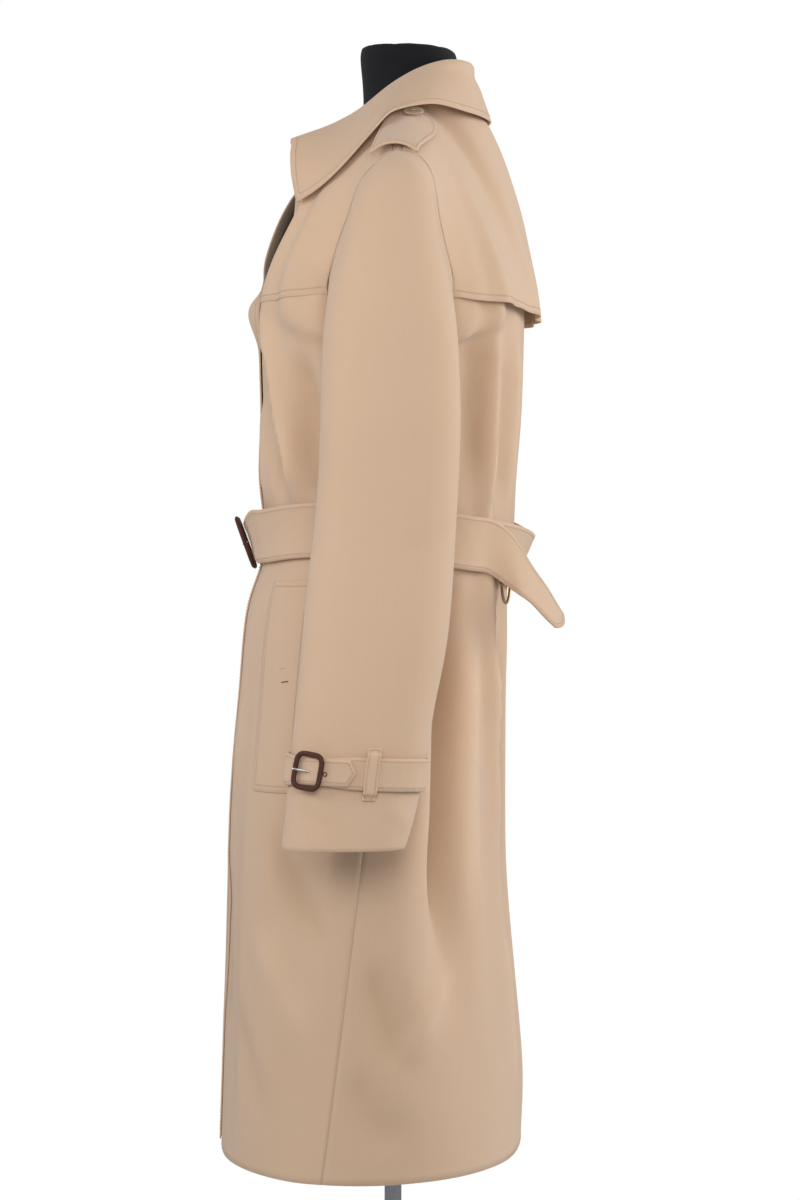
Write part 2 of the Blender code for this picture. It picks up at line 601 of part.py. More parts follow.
def trunk_point(turn, z, off=0.0, folded=True):
    """Point of the coat's outer face at a turn and height, moved out by off."""
    turn = (turn + 2) % 4 - 2
    side = -1.0 if turn < 0 else 1.0
    own = abs(turn)
    x, y, turns = half_outline(round(z, 5))
    low, high = max(own - 0.02, 0.0), min(own + 0.02, 2.0)
    low_x, own_x, high_x = np.interp((low, own, high), turns, x)
    low_y, own_y, high_y = np.interp((low, own, high), turns, y)
    along = unit((high_x - low_x, high_y - low_y))
    if low == 0.0:
        along = np.array([1.0, 0.0])
    if high == 2.0:
        along = np.array([-1.0, 0.0])
    if folded:
        off = off + fold_height(turn, z)
    return np.array([side * (own_x + off * along[1]), own_y - off * along[0], z])


def lap_off(turn):
    """How far the right front's lap carries the outer face out near centre front."""
    own_right = -((turn + 2) % 4 - 2)
    if own_right < -FRONT_LAP - 0.08:
        return 0.0
    return LAP_LIFT * (1 - ease(*LAP_BLEND, own_right)) * ease(-FRONT_LAP - 0.08, -FRONT_LAP, own_right)


def out_of_trunk(turn, z):
    return unit(trunk_point(turn, z, 0.01, False) - trunk_point(turn, z, 0.0, False))


def row_height(row, top_z, own_turn):
    """Height of a trunk row. The rows above LEVEL_Z are spread so that the last one ends at top_z."""
    z = TRUNK_ROWS[row]
    if row == 0:
        return z + linear_read(HEM_LIFT, "turn", "up", own_turn)
    if z <= LEVEL_Z:
        return z
    return LEVEL_Z + (top_z - LEVEL_Z) * (z - LEVEL_Z) / (TRUNK_ROWS[-1] - LEVEL_Z)


# ---------------------------------------------------------------- panels, as grids of points

def armhole(table):
    return smooth_line(table, UPPER_ROWS + 1)


def shoulder_seam(shares, back):
    line = np.array(NECK_POINT) + np.outer(shares, np.array(SHOULDER_POINT) - np.array(NECK_POINT))
    line[:, 1] += (1 if back else -1) * SEAM_GAP / 2
    return line


def raised(foot, climbs, seam, overs, row, fullness):
    """One row between the trunk's last row and the seam above it, each point on its own curve."""
    reach = np.linalg.norm(seam - foot, axis=1)[:, None]
    return hermite(foot, climbs * reach * fullness, seam, overs * reach * 0.75, row / UPPER_ROWS)


def front_grid(side):
    """Outer face of a front, from its free edge to the side seam. side is 1 for the left one."""
    shares = np.linspace(0, 1, FRONT_COLUMNS + 1)
    own_turns = -FRONT_LAP + (1 - SEAM_TURN + FRONT_LAP) * shares
    own_side = np.array([side, 1.0, 1.0])
    lapped = side < 0
    neck_spots = [np.array(spot) for spot in NECK_EDGE]
    if lapped:
        for spot, reach in zip(neck_spots, LAP_REACH):
            spot[0] -= reach

    def placed(i, z):
        off = LAP_LIFT * (1 - ease(*LAP_BLEND, own_turns[i])) if lapped else 0.0
        return trunk_point(side * own_turns[i], z, off) * own_side

    count = len(shares)
    tops = [smooth_read(TRUNK_TOP, "share", "front", s) for s in shares]
    rows = [
        np.array([placed(i, row_height(row, tops[i], own_turns[i])) for i in range(count)])
        for row in range(len(TRUNK_ROWS))
    ]
    foot = rows[-1]
    climbs = np.array([unit(foot[i] - placed(i, foot[i][2] - 0.03)) for i in range(count)])
    seam = shoulder_seam(shares, back=False)
    overs = np.tile(unit((0.0, 1.0, 0.12)), (count, 1))
    neck = smooth_line([foot[0]] + neck_spots, UPPER_ROWS + 1)
    arm = armhole(ARMHOLE_FRONT)
    for row in range(1, UPPER_ROWS + 1):
        line = raised(foot, climbs, seam, overs, row, FRONT_FULLNESS)
        to_neck = (neck[row] - line[0]) if row < UPPER_ROWS else 0.0
        to_arm = (arm[row] - line[-1]) if row < UPPER_ROWS else 0.0
        line = line + np.outer((1 - shares) ** 2.5, to_neck * np.ones(3))
        line = line + np.outer(shares ** 3, to_arm * np.ones(3))
        rows.append(line)
    grid = np.array(rows)
    if not lapped:
        return grid
    grid[:, :, 1] -= lap_forward(grid, shares)
    return mirrored(grid)


def lap_forward(grid, shares):
    """How far the right front's lap stands forward of the line it would lie on, spot by spot."""
    rolled = np.array([smooth_read(LAP_ROLL, "share", "amount", s) for s in shares])
    flared = (1 - shares) ** FLARE_POWER
    forward = np.zeros(grid.shape[:2])
    last = len(TRUNK_ROWS) - 1
    for row in range(len(grid)):
        along = max(row - last, 0) / UPPER_ROWS
        profile = rolled + (flared - rolled) * ease(0.0, ROLL_END, along)
        forward[row] = smooth_read(FLARE, "share", "forward", along) * profile
        forward[row] *= ease_array(grid[row, :, 2], FLARE_LOW_Z, BREAK_Z)
    return forward


def neckline_back(count):
    """Back half of the neckline, own side, from the neck point to centre back."""
    angles = np.linspace(math.pi / 2, 0, count)
    return np.array([
        (
            NECK_POINT.x * math.sin(a),
            NECK_BACK.y - (NECK_BACK.y - NECK_POINT.y) * (1 - math.cos(a)),
            NECK_BACK.z + (NECK_POINT.z - NECK_BACK.z) * math.sin(a),
        )
        for a in angles
    ])


def back_half_grid(side):
    """Outer face of half the back, from its side seam to centre back. side is 1 for the left half."""
    along = np.linspace(1, 0, SHOULDER_COLUMNS + 1)
    shares = np.concatenate([
        SHOULDER_SHARE + (1 - SHOULDER_SHARE) * along, np.linspace(SHOULDER_SHARE, 0, NECK_COLUMNS + 1)[1:]
    ])
    own_side = np.array([side, 1.0, 1.0])

    def placed(share, z):
        return trunk_point(side * (2 - share * (1 - SEAM_TURN)), z) * own_side

    tops = [smooth_read(TRUNK_TOP, "share", "back", s) for s in shares]
    rows = [
        np.array([placed(s, row_height(row, top, 2 - s)) for s, top in zip(shares, tops)])
        for row in range(len(TRUNK_ROWS))
    ]
    foot = rows[-1]
    climbs = np.array([unit(foot[i] - placed(s, foot[i][2] - 0.03)) for i, s in enumerate(shares)])
    seam = np.concatenate([shoulder_seam(along, back=True), neckline_back(NECK_COLUMNS + 1)[1:]])
    overs = np.array([unit((0.0, -1.0, 0.20 + 0.5 * (1 - ease(0.0, 0.5, s)))) for s in shares])
    arm = armhole(ARMHOLE_BACK)
    for row in range(1, UPPER_ROWS + 1):
        line = raised(foot, climbs, seam, overs, row, BACK_FULLNESS)
        if row < UPPER_ROWS:
            line = line + np.outer(shares ** 3, arm[row] - line[0])
        rows.append(line)
    grid = np.array(rows)
    return grid if side > 0 else mirrored(grid)


def back_grid():
    return np.concatenate([back_half_grid(1), back_half_grid(-1)[:, 1:]], axis=1)


def panel_ways(left, right, back):
    """Normals of the fronts and the back. They agree on both sides of a seam, so the walls don't cross."""
    ways = [normals_of(grid) for grid in (left, right, back)]
    across = np.array([-1.0, 1.0, 1.0])
    for row in range(len(TRUNK_ROWS) - 1):
        height = left[row, -1, 2]
        out = out_of_trunk(1.0, height)
        ways[0][row, -1] = ways[2][row, 0] = out
        ways[1][row, 0] = ways[2][row, -1] = out * across
    underarm = unit((1.0, 0.0, -0.25))
    ways[0][len(TRUNK_ROWS) - 1, -1] = ways[2][len(TRUNK_ROWS) - 1, 0] = underarm
    ways[1][len(TRUNK_ROWS) - 1, 0] = ways[2][len(TRUNK_ROWS) - 1, -1] = underarm * across
    slope = np.array(SHOULDER_POINT) - np.array(NECK_POINT)
    over = unit(np.cross(slope, (0.0, 1.0, 0.0)))
    ways[0][-1, :] = over
    ways[1][-1, :] = over * across
    ways[2][-1, :SHOULDER_COLUMNS + 1] = over
    ways[2][-1, -SHOULDER_COLUMNS - 1:] = over * across
    return ways


def between(first, last):
    """first, the whole numbers well between it and last, and last."""
    return [first] + list(range(math.ceil(first + 0.2), math.floor(last - 0.2) + 1)) + [last]


def spot_on(grid, row, column):
    """Point of a grid's triangles at a place given in rows and columns."""
    r, c = int(min(row, grid.shape[0] - 2)), int(min(column, grid.shape[1] - 2))
    v, u = row - r, column - c
    if u >= v:
        return grid[r, c] + (grid[r, c + 1] - grid[r, c]) * u + (grid[r + 1, c + 1] - grid[r, c + 1]) * v
    return grid[r, c] + (grid[r + 1, c] - grid[r, c]) * v + (grid[r + 1, c + 1] - grid[r + 1, c]) * u


def laid_on(grid, ways, rows, columns, off):
    """A patch of a panel between the given rows and columns, moved out. rows, columns and off are grids."""
    return np.array([
        [
            spot_on(grid, r, c) + unit(spot_on(ways, r, c)) * (LAY_GAP + WALL + o)
            for r, c, o in zip(*line)
        ]
        for line in zip(rows, columns, off)
    ])


def upper_piece(grid, ways, columns, hems, offs, full_row):
    """A piece that covers a panel from a hem to the panel's top. Above full_row it keeps to the panel's
    rows; below it has two rows more on the way to the hem. The last columns stand at the armhole."""
    top = grid.shape[0] - 1 - TOP_INSET
    across = np.array(columns, float)
    first, last = columns[0], columns[-1]
    row_lists, column_lists, off_lists = [], [], []
    hem_rows = []
    for column, hem in zip(columns, hems):
        heights = [spot_on(grid, r, column)[2] for r in range(grid.shape[0])]
        hem_rows.append(float(np.interp(hem, heights, range(grid.shape[0]))))
    hem_rows = np.array(hem_rows)
    steps = [hem_rows + (full_row - hem_rows) * k / 3 for k in range(3)]
    steps += [np.full(len(columns), float(r)) for r in between(full_row, top)]
    for k, rows in enumerate(steps):
        inset = EDGE_INSET[0] + (EDGE_INSET[1] - EDGE_INSET[0]) * min(k / 3, 1.0)
        moved = across.copy()
        if first < 1:
            moved[0] = inset
        moved[-1] = grid.shape[1] - 1 - inset
        row_lists.append(rows)
        column_lists.append(moved)
        off_lists.append(np.array(offs) * (1 - k / (len(steps) - 1)) ** 1.6)
    return laid_on(grid, ways, row_lists, column_lists, off_lists)


def cape_grid(back, ways):
    last = back.shape[1] - 1
    columns = [EDGE_INSET[1]] + list(range(1, last)) + [last - EDGE_INSET[1]]
    shares = np.concatenate([
        np.linspace(1, SHOULDER_SHARE, SHOULDER_COLUMNS + 1),
        np.linspace(SHOULDER_SHARE, 0, NECK_COLUMNS + 1)[1:],
    ])
    turns = np.interp(columns, np.arange(last + 1), np.concatenate([2 - shares, (2 + shares[::-1])[1:]]))
    middle = 0.5 + 0.5 * np.cos(math.pi * (turns - 2))
    hems = CAPE_HEM_SIDE_Z + (CAPE_HEM_BACK_Z - CAPE_HEM_SIDE_Z) * middle
    offs = [smooth_read(CAPE_HEM_OFF, "turn", "off", t) for t in turns]
    return upper_piece(back, ways, columns, hems, offs, CAPE_FULL_ROW)


def flap_grid(front, ways):
    columns = list(range(FLAP_FIRST_COLUMN, FRONT_COLUMNS)) + [FRONT_COLUMNS - EDGE_INSET[1]]
    count = len(columns)
    return upper_piece(front, ways, columns, [FLAP_HEM_Z] * count, [FLAP_OFF] * count, FLAP_FULL_ROW)


def welt_grid(front, ways, side):
    """Welt on a front's grid; side is 1 for the left one."""
    lists = []
    for row in between(*[float(np.interp(end.z, TRUNK_ROWS, range(len(TRUNK_ROWS)))) for end in WELT]):
        z = float(np.interp(row, range(len(TRUNK_ROWS)), TRUNK_ROWS))
        turns = [linear_read(WELT, "z", name, z) for name in ("front_turn", "back_turn")]
        columns = [(turn + FRONT_LAP) / (1 - SEAM_TURN + FRONT_LAP) * FRONT_COLUMNS for turn in turns]
        if side < 0:
            columns = [FRONT_COLUMNS - column for column in columns[::-1]]
        lists.append((row, np.array(between(*columns), float)))
    return laid_on(
        front, ways, [np.full(len(columns), float(row)) for row, columns in lists],
        [columns for _, columns in lists], [np.zeros(len(columns)) for _, columns in lists],
    )


# ---------------------------------------------------------------- sleeves and cuffs, own side

def sleeve_point(angle, z, off=0.0):
    """Point of the sleeve's outer face: angle in degrees, 0 inside, 90 front, 180 outside, 270 back."""
    x, y, thick, depth, squareness = (
        smooth_read(SLEEVE, "z", name, z) for name in ("x", "y", "half_thick", "half_depth", "squareness")
    )
    power = 2 / squareness

    def at(degrees):
        c, s = math.cos(math.radians(degrees)), math.sin(math.radians(degrees))
        return np.array([
            x - thick * math.copysign(abs(c) ** power, c), y - depth * math.copysign(abs(s) ** power, s), z
        ])

    along = unit(at(angle + 4) - at(angle - 4))
    return at(angle) + off * np.array([along[1], -along[0], 0.0])


def sleeve_grid():
    """Outer face of the left sleeve, hem to armhole, one column for each point of the armhole."""
    loop = np.concatenate([armhole(ARMHOLE_FRONT)[:-1], armhole(ARMHOLE_BACK)[:0:-1]])
    count = len(loop)
    ring = np.array([sleeve_point(360 * k / count, SLEEVE_ROWS[0]) for k in range(count)])
    start = loop + np.array([SLEEVE_START, 0.0, 0.0])
    reach = np.linalg.norm(ring - start, axis=1)[:, None]
    high = ease_array(loop[:, 2], UNDERARM_Z, SHOULDER_POINT.z)[:, None]
    leave = unit_rows(np.concatenate([np.ones((count, 1)), np.zeros((count, 1)), -0.15 * high], axis=1))
    head = [
        hermite(start, leave * reach * 0.62, ring, np.array([0.0, 0.0, -1.0]) * reach * 1.0, k / HEAD_ROWS)
        for k in range(HEAD_ROWS)
    ]
    tube = [[sleeve_point(360 * k / count, z) for k in range(count)] for z in SLEEVE_ROWS]
    return np.array(list(head) + [np.array(row) for row in tube])[::-1]


def ease_array(values, low, high):
    return np.array([ease(low, high, v) for v in values])


def unit_rows(rows):
    return rows / np.linalg.norm(rows, axis=1, keepdims=True)


def cuff_place(angle, along, off):
    """Place on the cuff strap: along runs up the sleeve from the strap's middle line."""
    level = sleeve_point(angle, CUFF_Z)
    tilt = CUFF_SLOPE * (smooth_read(SLEEVE, "z", "y", CUFF_Z) - level[1])
    return sleeve_point(angle, CUFF_Z + along + tilt, off)


def cuff_strap_grid():
    """One strip: from the buckle's middle round the sleeve, over its own start and on to the tip."""
    first, around = CUFF_BUCKLE_ANGLE + 1.0, 360.0
    tip = CUFF_TIP_ANGLE + around
    angles = list(np.linspace(first, first + around, 31)) + list(np.linspace(first + around, tip, 6)[1:])
    columns = []
    for angle in angles:
        lifted = ease(first + around - 26, first + around - 4, angle)
        off = LAY_GAP + CUFF_STRAP_WALL + CUFF_TIP_LIFT * lifted
        away = min(abs(angle - first), abs(angle - first - around))
        width = CUFF_STRAP_WIDTH_IN_BUCKLE
        if angle < first + around:
            width += (CUFF_STRAP_WIDTH - CUFF_STRAP_WIDTH_IN_BUCKLE) * ease(10, 40, away)
        columns.append([cuff_place(angle, width * side, off) for side in (-0.5, 0.0, 0.5)])
    grid = np.array(columns).transpose(1, 0, 2)
    drawn_back = (grid[:, -2] - grid[:, -1])
    grid[0, -1] += unit(drawn_back[0]) * CUFF_TIP_POINT
    grid[2, -1] += unit(drawn_back[2]) * CUFF_TIP_POINT
    return grid[::-1]


def bridge_grid(place, width, height, low, rise):
    """A narrow strip whose ends lie at low and whose middle stands at rise. place(across, along, off)."""
    return np.array([
        [place(side * width, (row.share - 0.5) * height, low + rise * row.high) for side in (-0.5, 0.5)]
        for row in LOOP_RISE
    ])


# ---------------------------------------------------------------- collar, belt, straps

def collar_curves():
    """Roll line and lower edge of the collar, own side, from centre back to the front end."""
    count = COLLAR_HALF_COLUMNS + 1
    roll = smooth_line([(row.roll_x, row.roll_y, row.roll_z) for row in COLLAR], count)
    edge = smooth_line([(row.edge_x, row.edge_y, row.edge_z) for row in COLLAR], count)
    return roll, edge


def collar_outward(roll, edge):
    flat = (edge - roll) * np.array([1.0, 1.0, 0.0])
    return unit_rows(flat)


def whole_from_half(half):
    """Both sides of the collar from its left half, whose first column is centre back."""
    return np.concatenate([half[:, :0:-1], half * np.array([-1.0, 1.0, 1.0])], axis=1)


def inner_leg(share):
    return INNER_LEG[0] + (INNER_LEG[1] - INNER_LEG[0]) * ease(0.1, 0.5, share)


def moved_clear(grid, tree, room):
    """The grid with those points moved out that lie too near the faces of a tree, or behind them. room is
    the least distance at each column."""
    clear = grid.copy()
    for row, column in np.ndindex(grid.shape[:2]):
        point = clear[row, column]
        place, way, _, away = tree.find_nearest(tuple(point))
        ahead = float((point - np.array(place)) @ np.array(way))
        if away < room[column] or (ahead < 0 and -ahead > 0.7 * away):
            clear[row, column] = np.array(place) + np.array(way) * room[column]
    return clear


def collar_grid(tree):
    """Fall, roll and the short inner leg behind the roll."""
    roll, edge = collar_curves()
    out = collar_outward(roll, edge)
    shares = np.linspace(0, 1, len(roll))
    up = np.array([0.0, 0.0, 1.0])
    sag = COLLAR_SAG[0] + (COLLAR_SAG[1] - COLLAR_SAG[0]) * ease_array(shares, 0.05, 0.45)[:, None]
    leg = np.array([inner_leg(s) for s in shares])[:, None]
    rows = []
    for w in (1.0, 0.8, 0.6, 0.4, 0.2):
        rows.append(roll + (edge - roll) * w + (out * 0.7 + up * 0.7) * sag * 4 * w * (1 - w))
    fall = moved_clear(np.array(rows), tree, [linear_read(COLLAR_ROOM, "share", "least", s) for s in shares])
    fall[:, :, 1] += np.outer(COLLAR_END_BACK, ease_array(shares, 0.86, 1.0))
    rows = list(fall)
    rows.append(roll + out * ROLL_HALF * 0.9 - up * 0.0012)
    rows.append(roll)
    rows.append(roll - out * ROLL_HALF * 0.9 - up * 0.0014)
    rows.append(roll - out * ROLL_HALF - up * leg)
    return whole_from_half(np.array(rows))


def collar_stand_grid(front, back):
    """From the neckline of the panels up to the collar's inner leg."""
    roll, edge = collar_curves()
    out = collar_outward(roll, edge)
    leg = np.array([inner_leg(s) for s in np.linspace(0, 1, len(roll))])[:, None]
    up = np.array([0.0, 0.0, 1.0])
    middle = back.shape[1] // 2
    first = len(TRUNK_ROWS) - 1 + round(UPPER_ROWS * COLLAR_SEAM_SHARE)
    seam = np.concatenate([back[-1, middle - NECK_COLUMNS:middle + 1][::-1], front[first:-1, 0][::-1]])
    foot = resampled(seam, len(roll)) + up * 0.0014 - out * 0.0008
    head = roll - out * ROLL_HALF - up * (leg + SEAM_GAP + 0.0002)
    return whole_from_half(np.array([foot, (foot + head) / 2 + out * 0.0006, head]))


def belt_width(turn):
    """The belt gathers where it passes through its buckle."""
    near = abs((turn + 2) % 4 - 2)
    return BELT_WIDTH_IN_BUCKLE + (BELT_WIDTH - BELT_WIDTH_IN_BUCKLE) * ease(*BELT_WIDENS, near)


def belt_column(turn, lift):
    """Lower edge, middle and upper edge of the belt's outer face."""
    key = turn % 4 if turn > BELT[0].turn else BELT[0].turn
    z, width = smooth_read(BELT, "turn", "z", key), belt_width(turn)
    low, high = smooth_read(BELT, "turn", "off_low", key), smooth_read(BELT, "turn", "off_high", key)
    base = lap_off(turn) + BELT_WALL + lift
    return [
        trunk_point(turn, z + side * width, base + low + (high - low) * (0.5 + side), False)
        for side in (-0.5, 0.0, 0.5)
    ]


def belt_grid():
    turns = np.linspace(BELT[0].turn, BELT[-1].turn, BELT_COLUMNS + 1)
    return np.array([belt_column(t, 0.0) for t in turns]).transpose(1, 0, 2)


def tail_grid():
    """Free end of the belt: over the belt to the left hip, then away from it and twisted as it drops."""
    waist = np.linspace(BELT[0].turn, BELT[-1].turn, BELT_COLUMNS + 1)
    turns = [TAIL_FIRST_TURN] + list(waist[:TAIL_LEAVES])
    columns = [belt_column(t, TAIL_LIFT) for t in turns]
    for hang in TAIL_FREE:
        middle, up = np.array(hang[:3]), unit(hang[3:])
        columns.append([middle + up * side * BELT_WIDTH for side in (-0.5, 0.0, 0.5)])
    last = columns[-1]
    onward = unit(last[1] - columns[-2][1])
    last[1] = last[1] + onward * TAIL_POINT
    return np.array(columns).transpose(1, 0, 2)


def surface_under(grids):
    """A tree of the outer faces of several pieces, to lay other pieces on."""
    points, faces = [], []
    for grid, closed in grids:
        start = len(points)
        points += [tuple(p) for p in grid.reshape(-1, 3)]
        faces += [tuple(start + i for i in face) for face in grid_faces(*grid.shape[:2], closed)]
    return BVHTree.FromPolygons(points, faces)


def dropped(tree, x, y, around=0.005):
    """Height of the highest face of the tree above a place and the places next to it."""
    near = [(around * math.cos(a), around * math.sin(a)) for a in np.arange(0, 6.2, math.pi / 3)]
    near.append((0.0, 0.0))
    hits = [tree.ray_cast((x + dx, y + dy, 2.0), (0.0, 0.0, -1.0))[0] for dx, dy in near]
    heights = [hit[2] for hit in hits if hit is not None]
    return max(heights)


def epaulette_grid(tree):
    start, end = np.array(EPAULETTE_FROM), np.array(EPAULETTE_TO)
    way = (end - start) / np.linalg.norm(end - start)
    side = np.array([-way[1], way[0]]) * -1.0
    rows = []
    for share in EPAULETTE_ROWS:
        half = linear_read(EPAULETTE, "share", "half_width", share)
        lift = smooth_read(EPAULETTE, "share", "lift", share) + EPAULETTE_WALL
        line = []
        for across in (-1.0, -0.5, 0.0, 0.5, 1.0):
            x, y = start + (end - start) * share + side * half * across
            line.append((x, y, dropped(tree, x, y) + lift))
        rows.append(line)
    grid = np.array(rows)
    settled = grid.copy()
    settled[1:-1, :, 2] = np.maximum(grid[1:-1, :, 2], (grid[:-2, :, 2] + grid[2:, :, 2]) / 2)
    settled[:, 1:-1, 2] = np.maximum(settled[:, 1:-1, 2], (settled[:, :-2, 2] + settled[:, 2:, 2]) / 2)
    return settled


# ---------------------------------------------------------------- building

def build_trunk():
    """Panels and what lies on them; returns the grids for the pieces above."""
    left, right, back = front_grid(1), front_grid(-1), back_grid()
    ways = panel_ways(left, right, back)
    cloth("front_left", left, ways=ways[0])
    cloth("front_right", right, ways=ways[1])
    cloth("back", back, ways=ways[2])
    cape, flap = cape_grid(back, ways[2]), flap_grid(left, ways[0])
    cloth("back_cape", cape)
    cloth("storm_flap", flap)
    cloth("pocket_welt_left", welt_grid(left, ways[0], 1))
    cloth("pocket_welt_right", welt_grid(right, ways[1], -1))
    return [(left, False), (right, False), (back, False), (cape, False), (flap, False)]


def build_sleeves():
    """Top sleeve and under sleeve of each side, sewn together before and behind the arm."""
    grid = sleeve_grid()
    ways = normals_of(grid, closed=True)
    count = grid.shape[1]
    front, back = SLEEVE_SEAMS
    for name, first, last in (("top_sleeve_", front, back), ("under_sleeve_", back, front + count)):
        columns = [c % count for c in range(first, last + 1)]
        part = grid[:, columns]
        for edge, inner in ((0, 1), (-1, -2)):
            part[:, edge] += unit_rows(part[:, inner] - part[:, edge]) * SEAM_GAP / 2
        cloth(name + "left", part, ways=ways[:, columns])
        cloth(name + "right", mirrored(part), ways=mirrored(ways[:, columns]))
    return [(grid, True), (mirrored(grid), True)]


def build_collar(under):
    cloth("collar", collar_grid(surface_under(under)))
    cloth("collar_stand", collar_stand_grid(under[0][0], under[2][0]))


def build_cuffs():
    """Strap, keeper, buckle and prong of each cuff."""
    strap = cuff_strap_grid()
    shift = 360.0 / (2 * math.pi * 0.052)

    def keeper_place(across, along, off):
        return cuff_place(CUFF_KEEPER_ANGLE - across * shift, along, off)

    low = LAY_GAP + WALL
    keeper = bridge_grid(keeper_place, CUFF_KEEPER_WIDTH, CUFF_KEEPER_HEIGHT, low, CUFF_KEEPER_RISE)[:, ::-1]
    outer = LAY_GAP + CUFF_STRAP_WALL + CUFF_TIP_LIFT
    reach = math.degrees(CUFF_BUCKLE_WIDTH / 2 / 0.055)
    ends = [cuff_place(CUFF_BUCKLE_ANGLE + side * reach, 0.0, outer) for side in (-1, 1)]
    along = cuff_place(CUFF_BUCKLE_ANGLE, 0.01, outer) - cuff_place(CUFF_BUCKLE_ANGLE, -0.01, outer)
    across = unit(ends[1] - ends[0]) - np.array([0.0, 0.0, math.tan(CUFF_BUCKLE_TILT)])
    out = unit(np.cross(across, along))
    under = [cuff_place(CUFF_BUCKLE_ANGLE + reach * k / 4, 0.0, outer) for k in range(-4, 5)]
    middle = (ends[0] + ends[1]) / 2
    middle = middle + out * (max((p - middle) @ out for p in under) + LAY_GAP + CUFF_BUCKLE_THICK / 2)
    axes = frame_axes(across, out)
    outline, ways = round_rectangle(
        CUFF_BUCKLE_WIDTH - CUFF_BUCKLE_BAR, CUFF_BUCKLE_HEIGHT - CUFF_BUCKLE_BAR, CUFF_BUCKLE_CORNER
    )
    half = CUFF_BUCKLE_WIDTH / 2
    height = CUFF_BUCKLE_THICK / 2
    prong = np.array([
        (0.002, 0.0, PRONG_RADIUS - height + 0.0004), (-0.004, 0.0, PRONG_RADIUS - height + 0.0012),
        (-half * 0.58, 0.0, height + PRONG_RADIUS + 0.0003),
        (-half * 0.95, 0.0, height + PRONG_RADIUS + 0.0004),
    ])
    for side, name in ((1, "left"), (-1, "right")):
        flip = np.array([side, 1.0, 1.0])
        cloth("cuff_strap_" + name, strap if side > 0 else mirrored(strap), wall=CUFF_STRAP_WALL)
        cloth("cuff_keeper_" + name, keeper if side > 0 else mirrored(keeper))
        place = (middle, axes)
        buckle = looped_bar(
            "cuff_buckle_" + name, outline, ways, CUFF_BUCKLE_BAR, CUFF_BUCKLE_THICK, place, "leather"
        )
        bar = rod("cuff_prong_" + name, middle + prong @ axes, PRONG_RADIUS, "steel")
        if side < 0:
            for obj in (buckle, bar):
                mirror_mesh(obj, flip)


def mirror_mesh(obj, flip):
    """Moves an object's points to the other side of the body and turns its faces back out."""
    for vertex in obj.data.vertices:
        vertex.co = [a * b for a, b in zip(vertex.co, flip)]
    obj.data.flip_normals()


def build_shoulder_straps(under):
    tree = surface_under(under)
    grid = epaulette_grid(tree)
    row = BUTTON_ROW
    out = unit(np.cross(grid[row, 3] - grid[row, 1], grid[row + 1, 2] - grid[row - 1, 2]))
    place = (grid[row, 2] + out * BUTTON_LIFT, frame_axes((0.0, 1.0, 0.0), out))
    profile = (
        (BUTTON_RADIUS * 0.70, 0.0), (BUTTON_RADIUS, BUTTON_THICK * 0.35),
        (BUTTON_RADIUS, BUTTON_THICK * 0.75), (BUTTON_RADIUS * 0.90, BUTTON_THICK),
        (BUTTON_RADIUS * 0.72, BUTTON_THICK * 0.92), (BUTTON_RADIUS * 0.60, BUTTON_THICK * 0.70),
    )
    for side, name in ((1, "left"), (-1, "right")):
        cloth("epaulette_" + name, grid if side > 0 else mirrored(grid), wall=EPAULETTE_WALL)
        button = turned("epaulette_button_" + name, profile, 16, "button", place)
        if side < 0:
            mirror_mesh(button, np.array([-1.0, 1.0, 1.0]))
    return [(grid, False)]


def build_belt():
    cloth("belt", belt_grid(), wall=BELT_WALL)
    cloth("belt_tail", tail_grid(), wall=BELT_WALL)
    lean = np.array([0.0, -math.cos(BUCKLE_LEAN), -math.sin(BUCKLE_LEAN)])
    axes = frame_axes((1.0, 0.0, 0.0), lean)
    middle = np.array(BUCKLE_AT)
    outline, ways = round_rectangle(BUCKLE_WIDTH - BUCKLE_BAR, BUCKLE_HEIGHT - BUCKLE_BAR, BUCKLE_CORNER)
    looped_bar("belt_buckle", outline, ways, BUCKLE_BAR, BUCKLE_THICK, (middle, axes), "leather")
    height = BUCKLE_THICK / 2 + PRONG_RADIUS
    prong = np.array([
        (0.003, 0.0, -height + 0.0022), (-0.008, 0.0, -height + 0.0030), (-0.019, 0.0, height + 0.0003),
        (-0.030, 0.0, height + 0.0006),
    ])
    rod("belt_prong", middle + prong @ axes, PRONG_RADIUS, "steel")
    for turn, name, rise in ((1.0, "left", 0.0040 + TAIL_LIFT + BELT_WALL), (3.0, "right", 0.0056)):
        middle_z = smooth_read(BELT, "turn", "z", turn)
        scale = 1.0 / 0.28

        def place(across, along, off, turn=turn, middle_z=middle_z):
            return trunk_point(turn + across * scale, middle_z + along, off, False)

        cloth("belt_loop_" + name, bridge_grid(place, LOOP_WIDTH, LOOP_HEIGHT, LAY_GAP + WALL, rise))


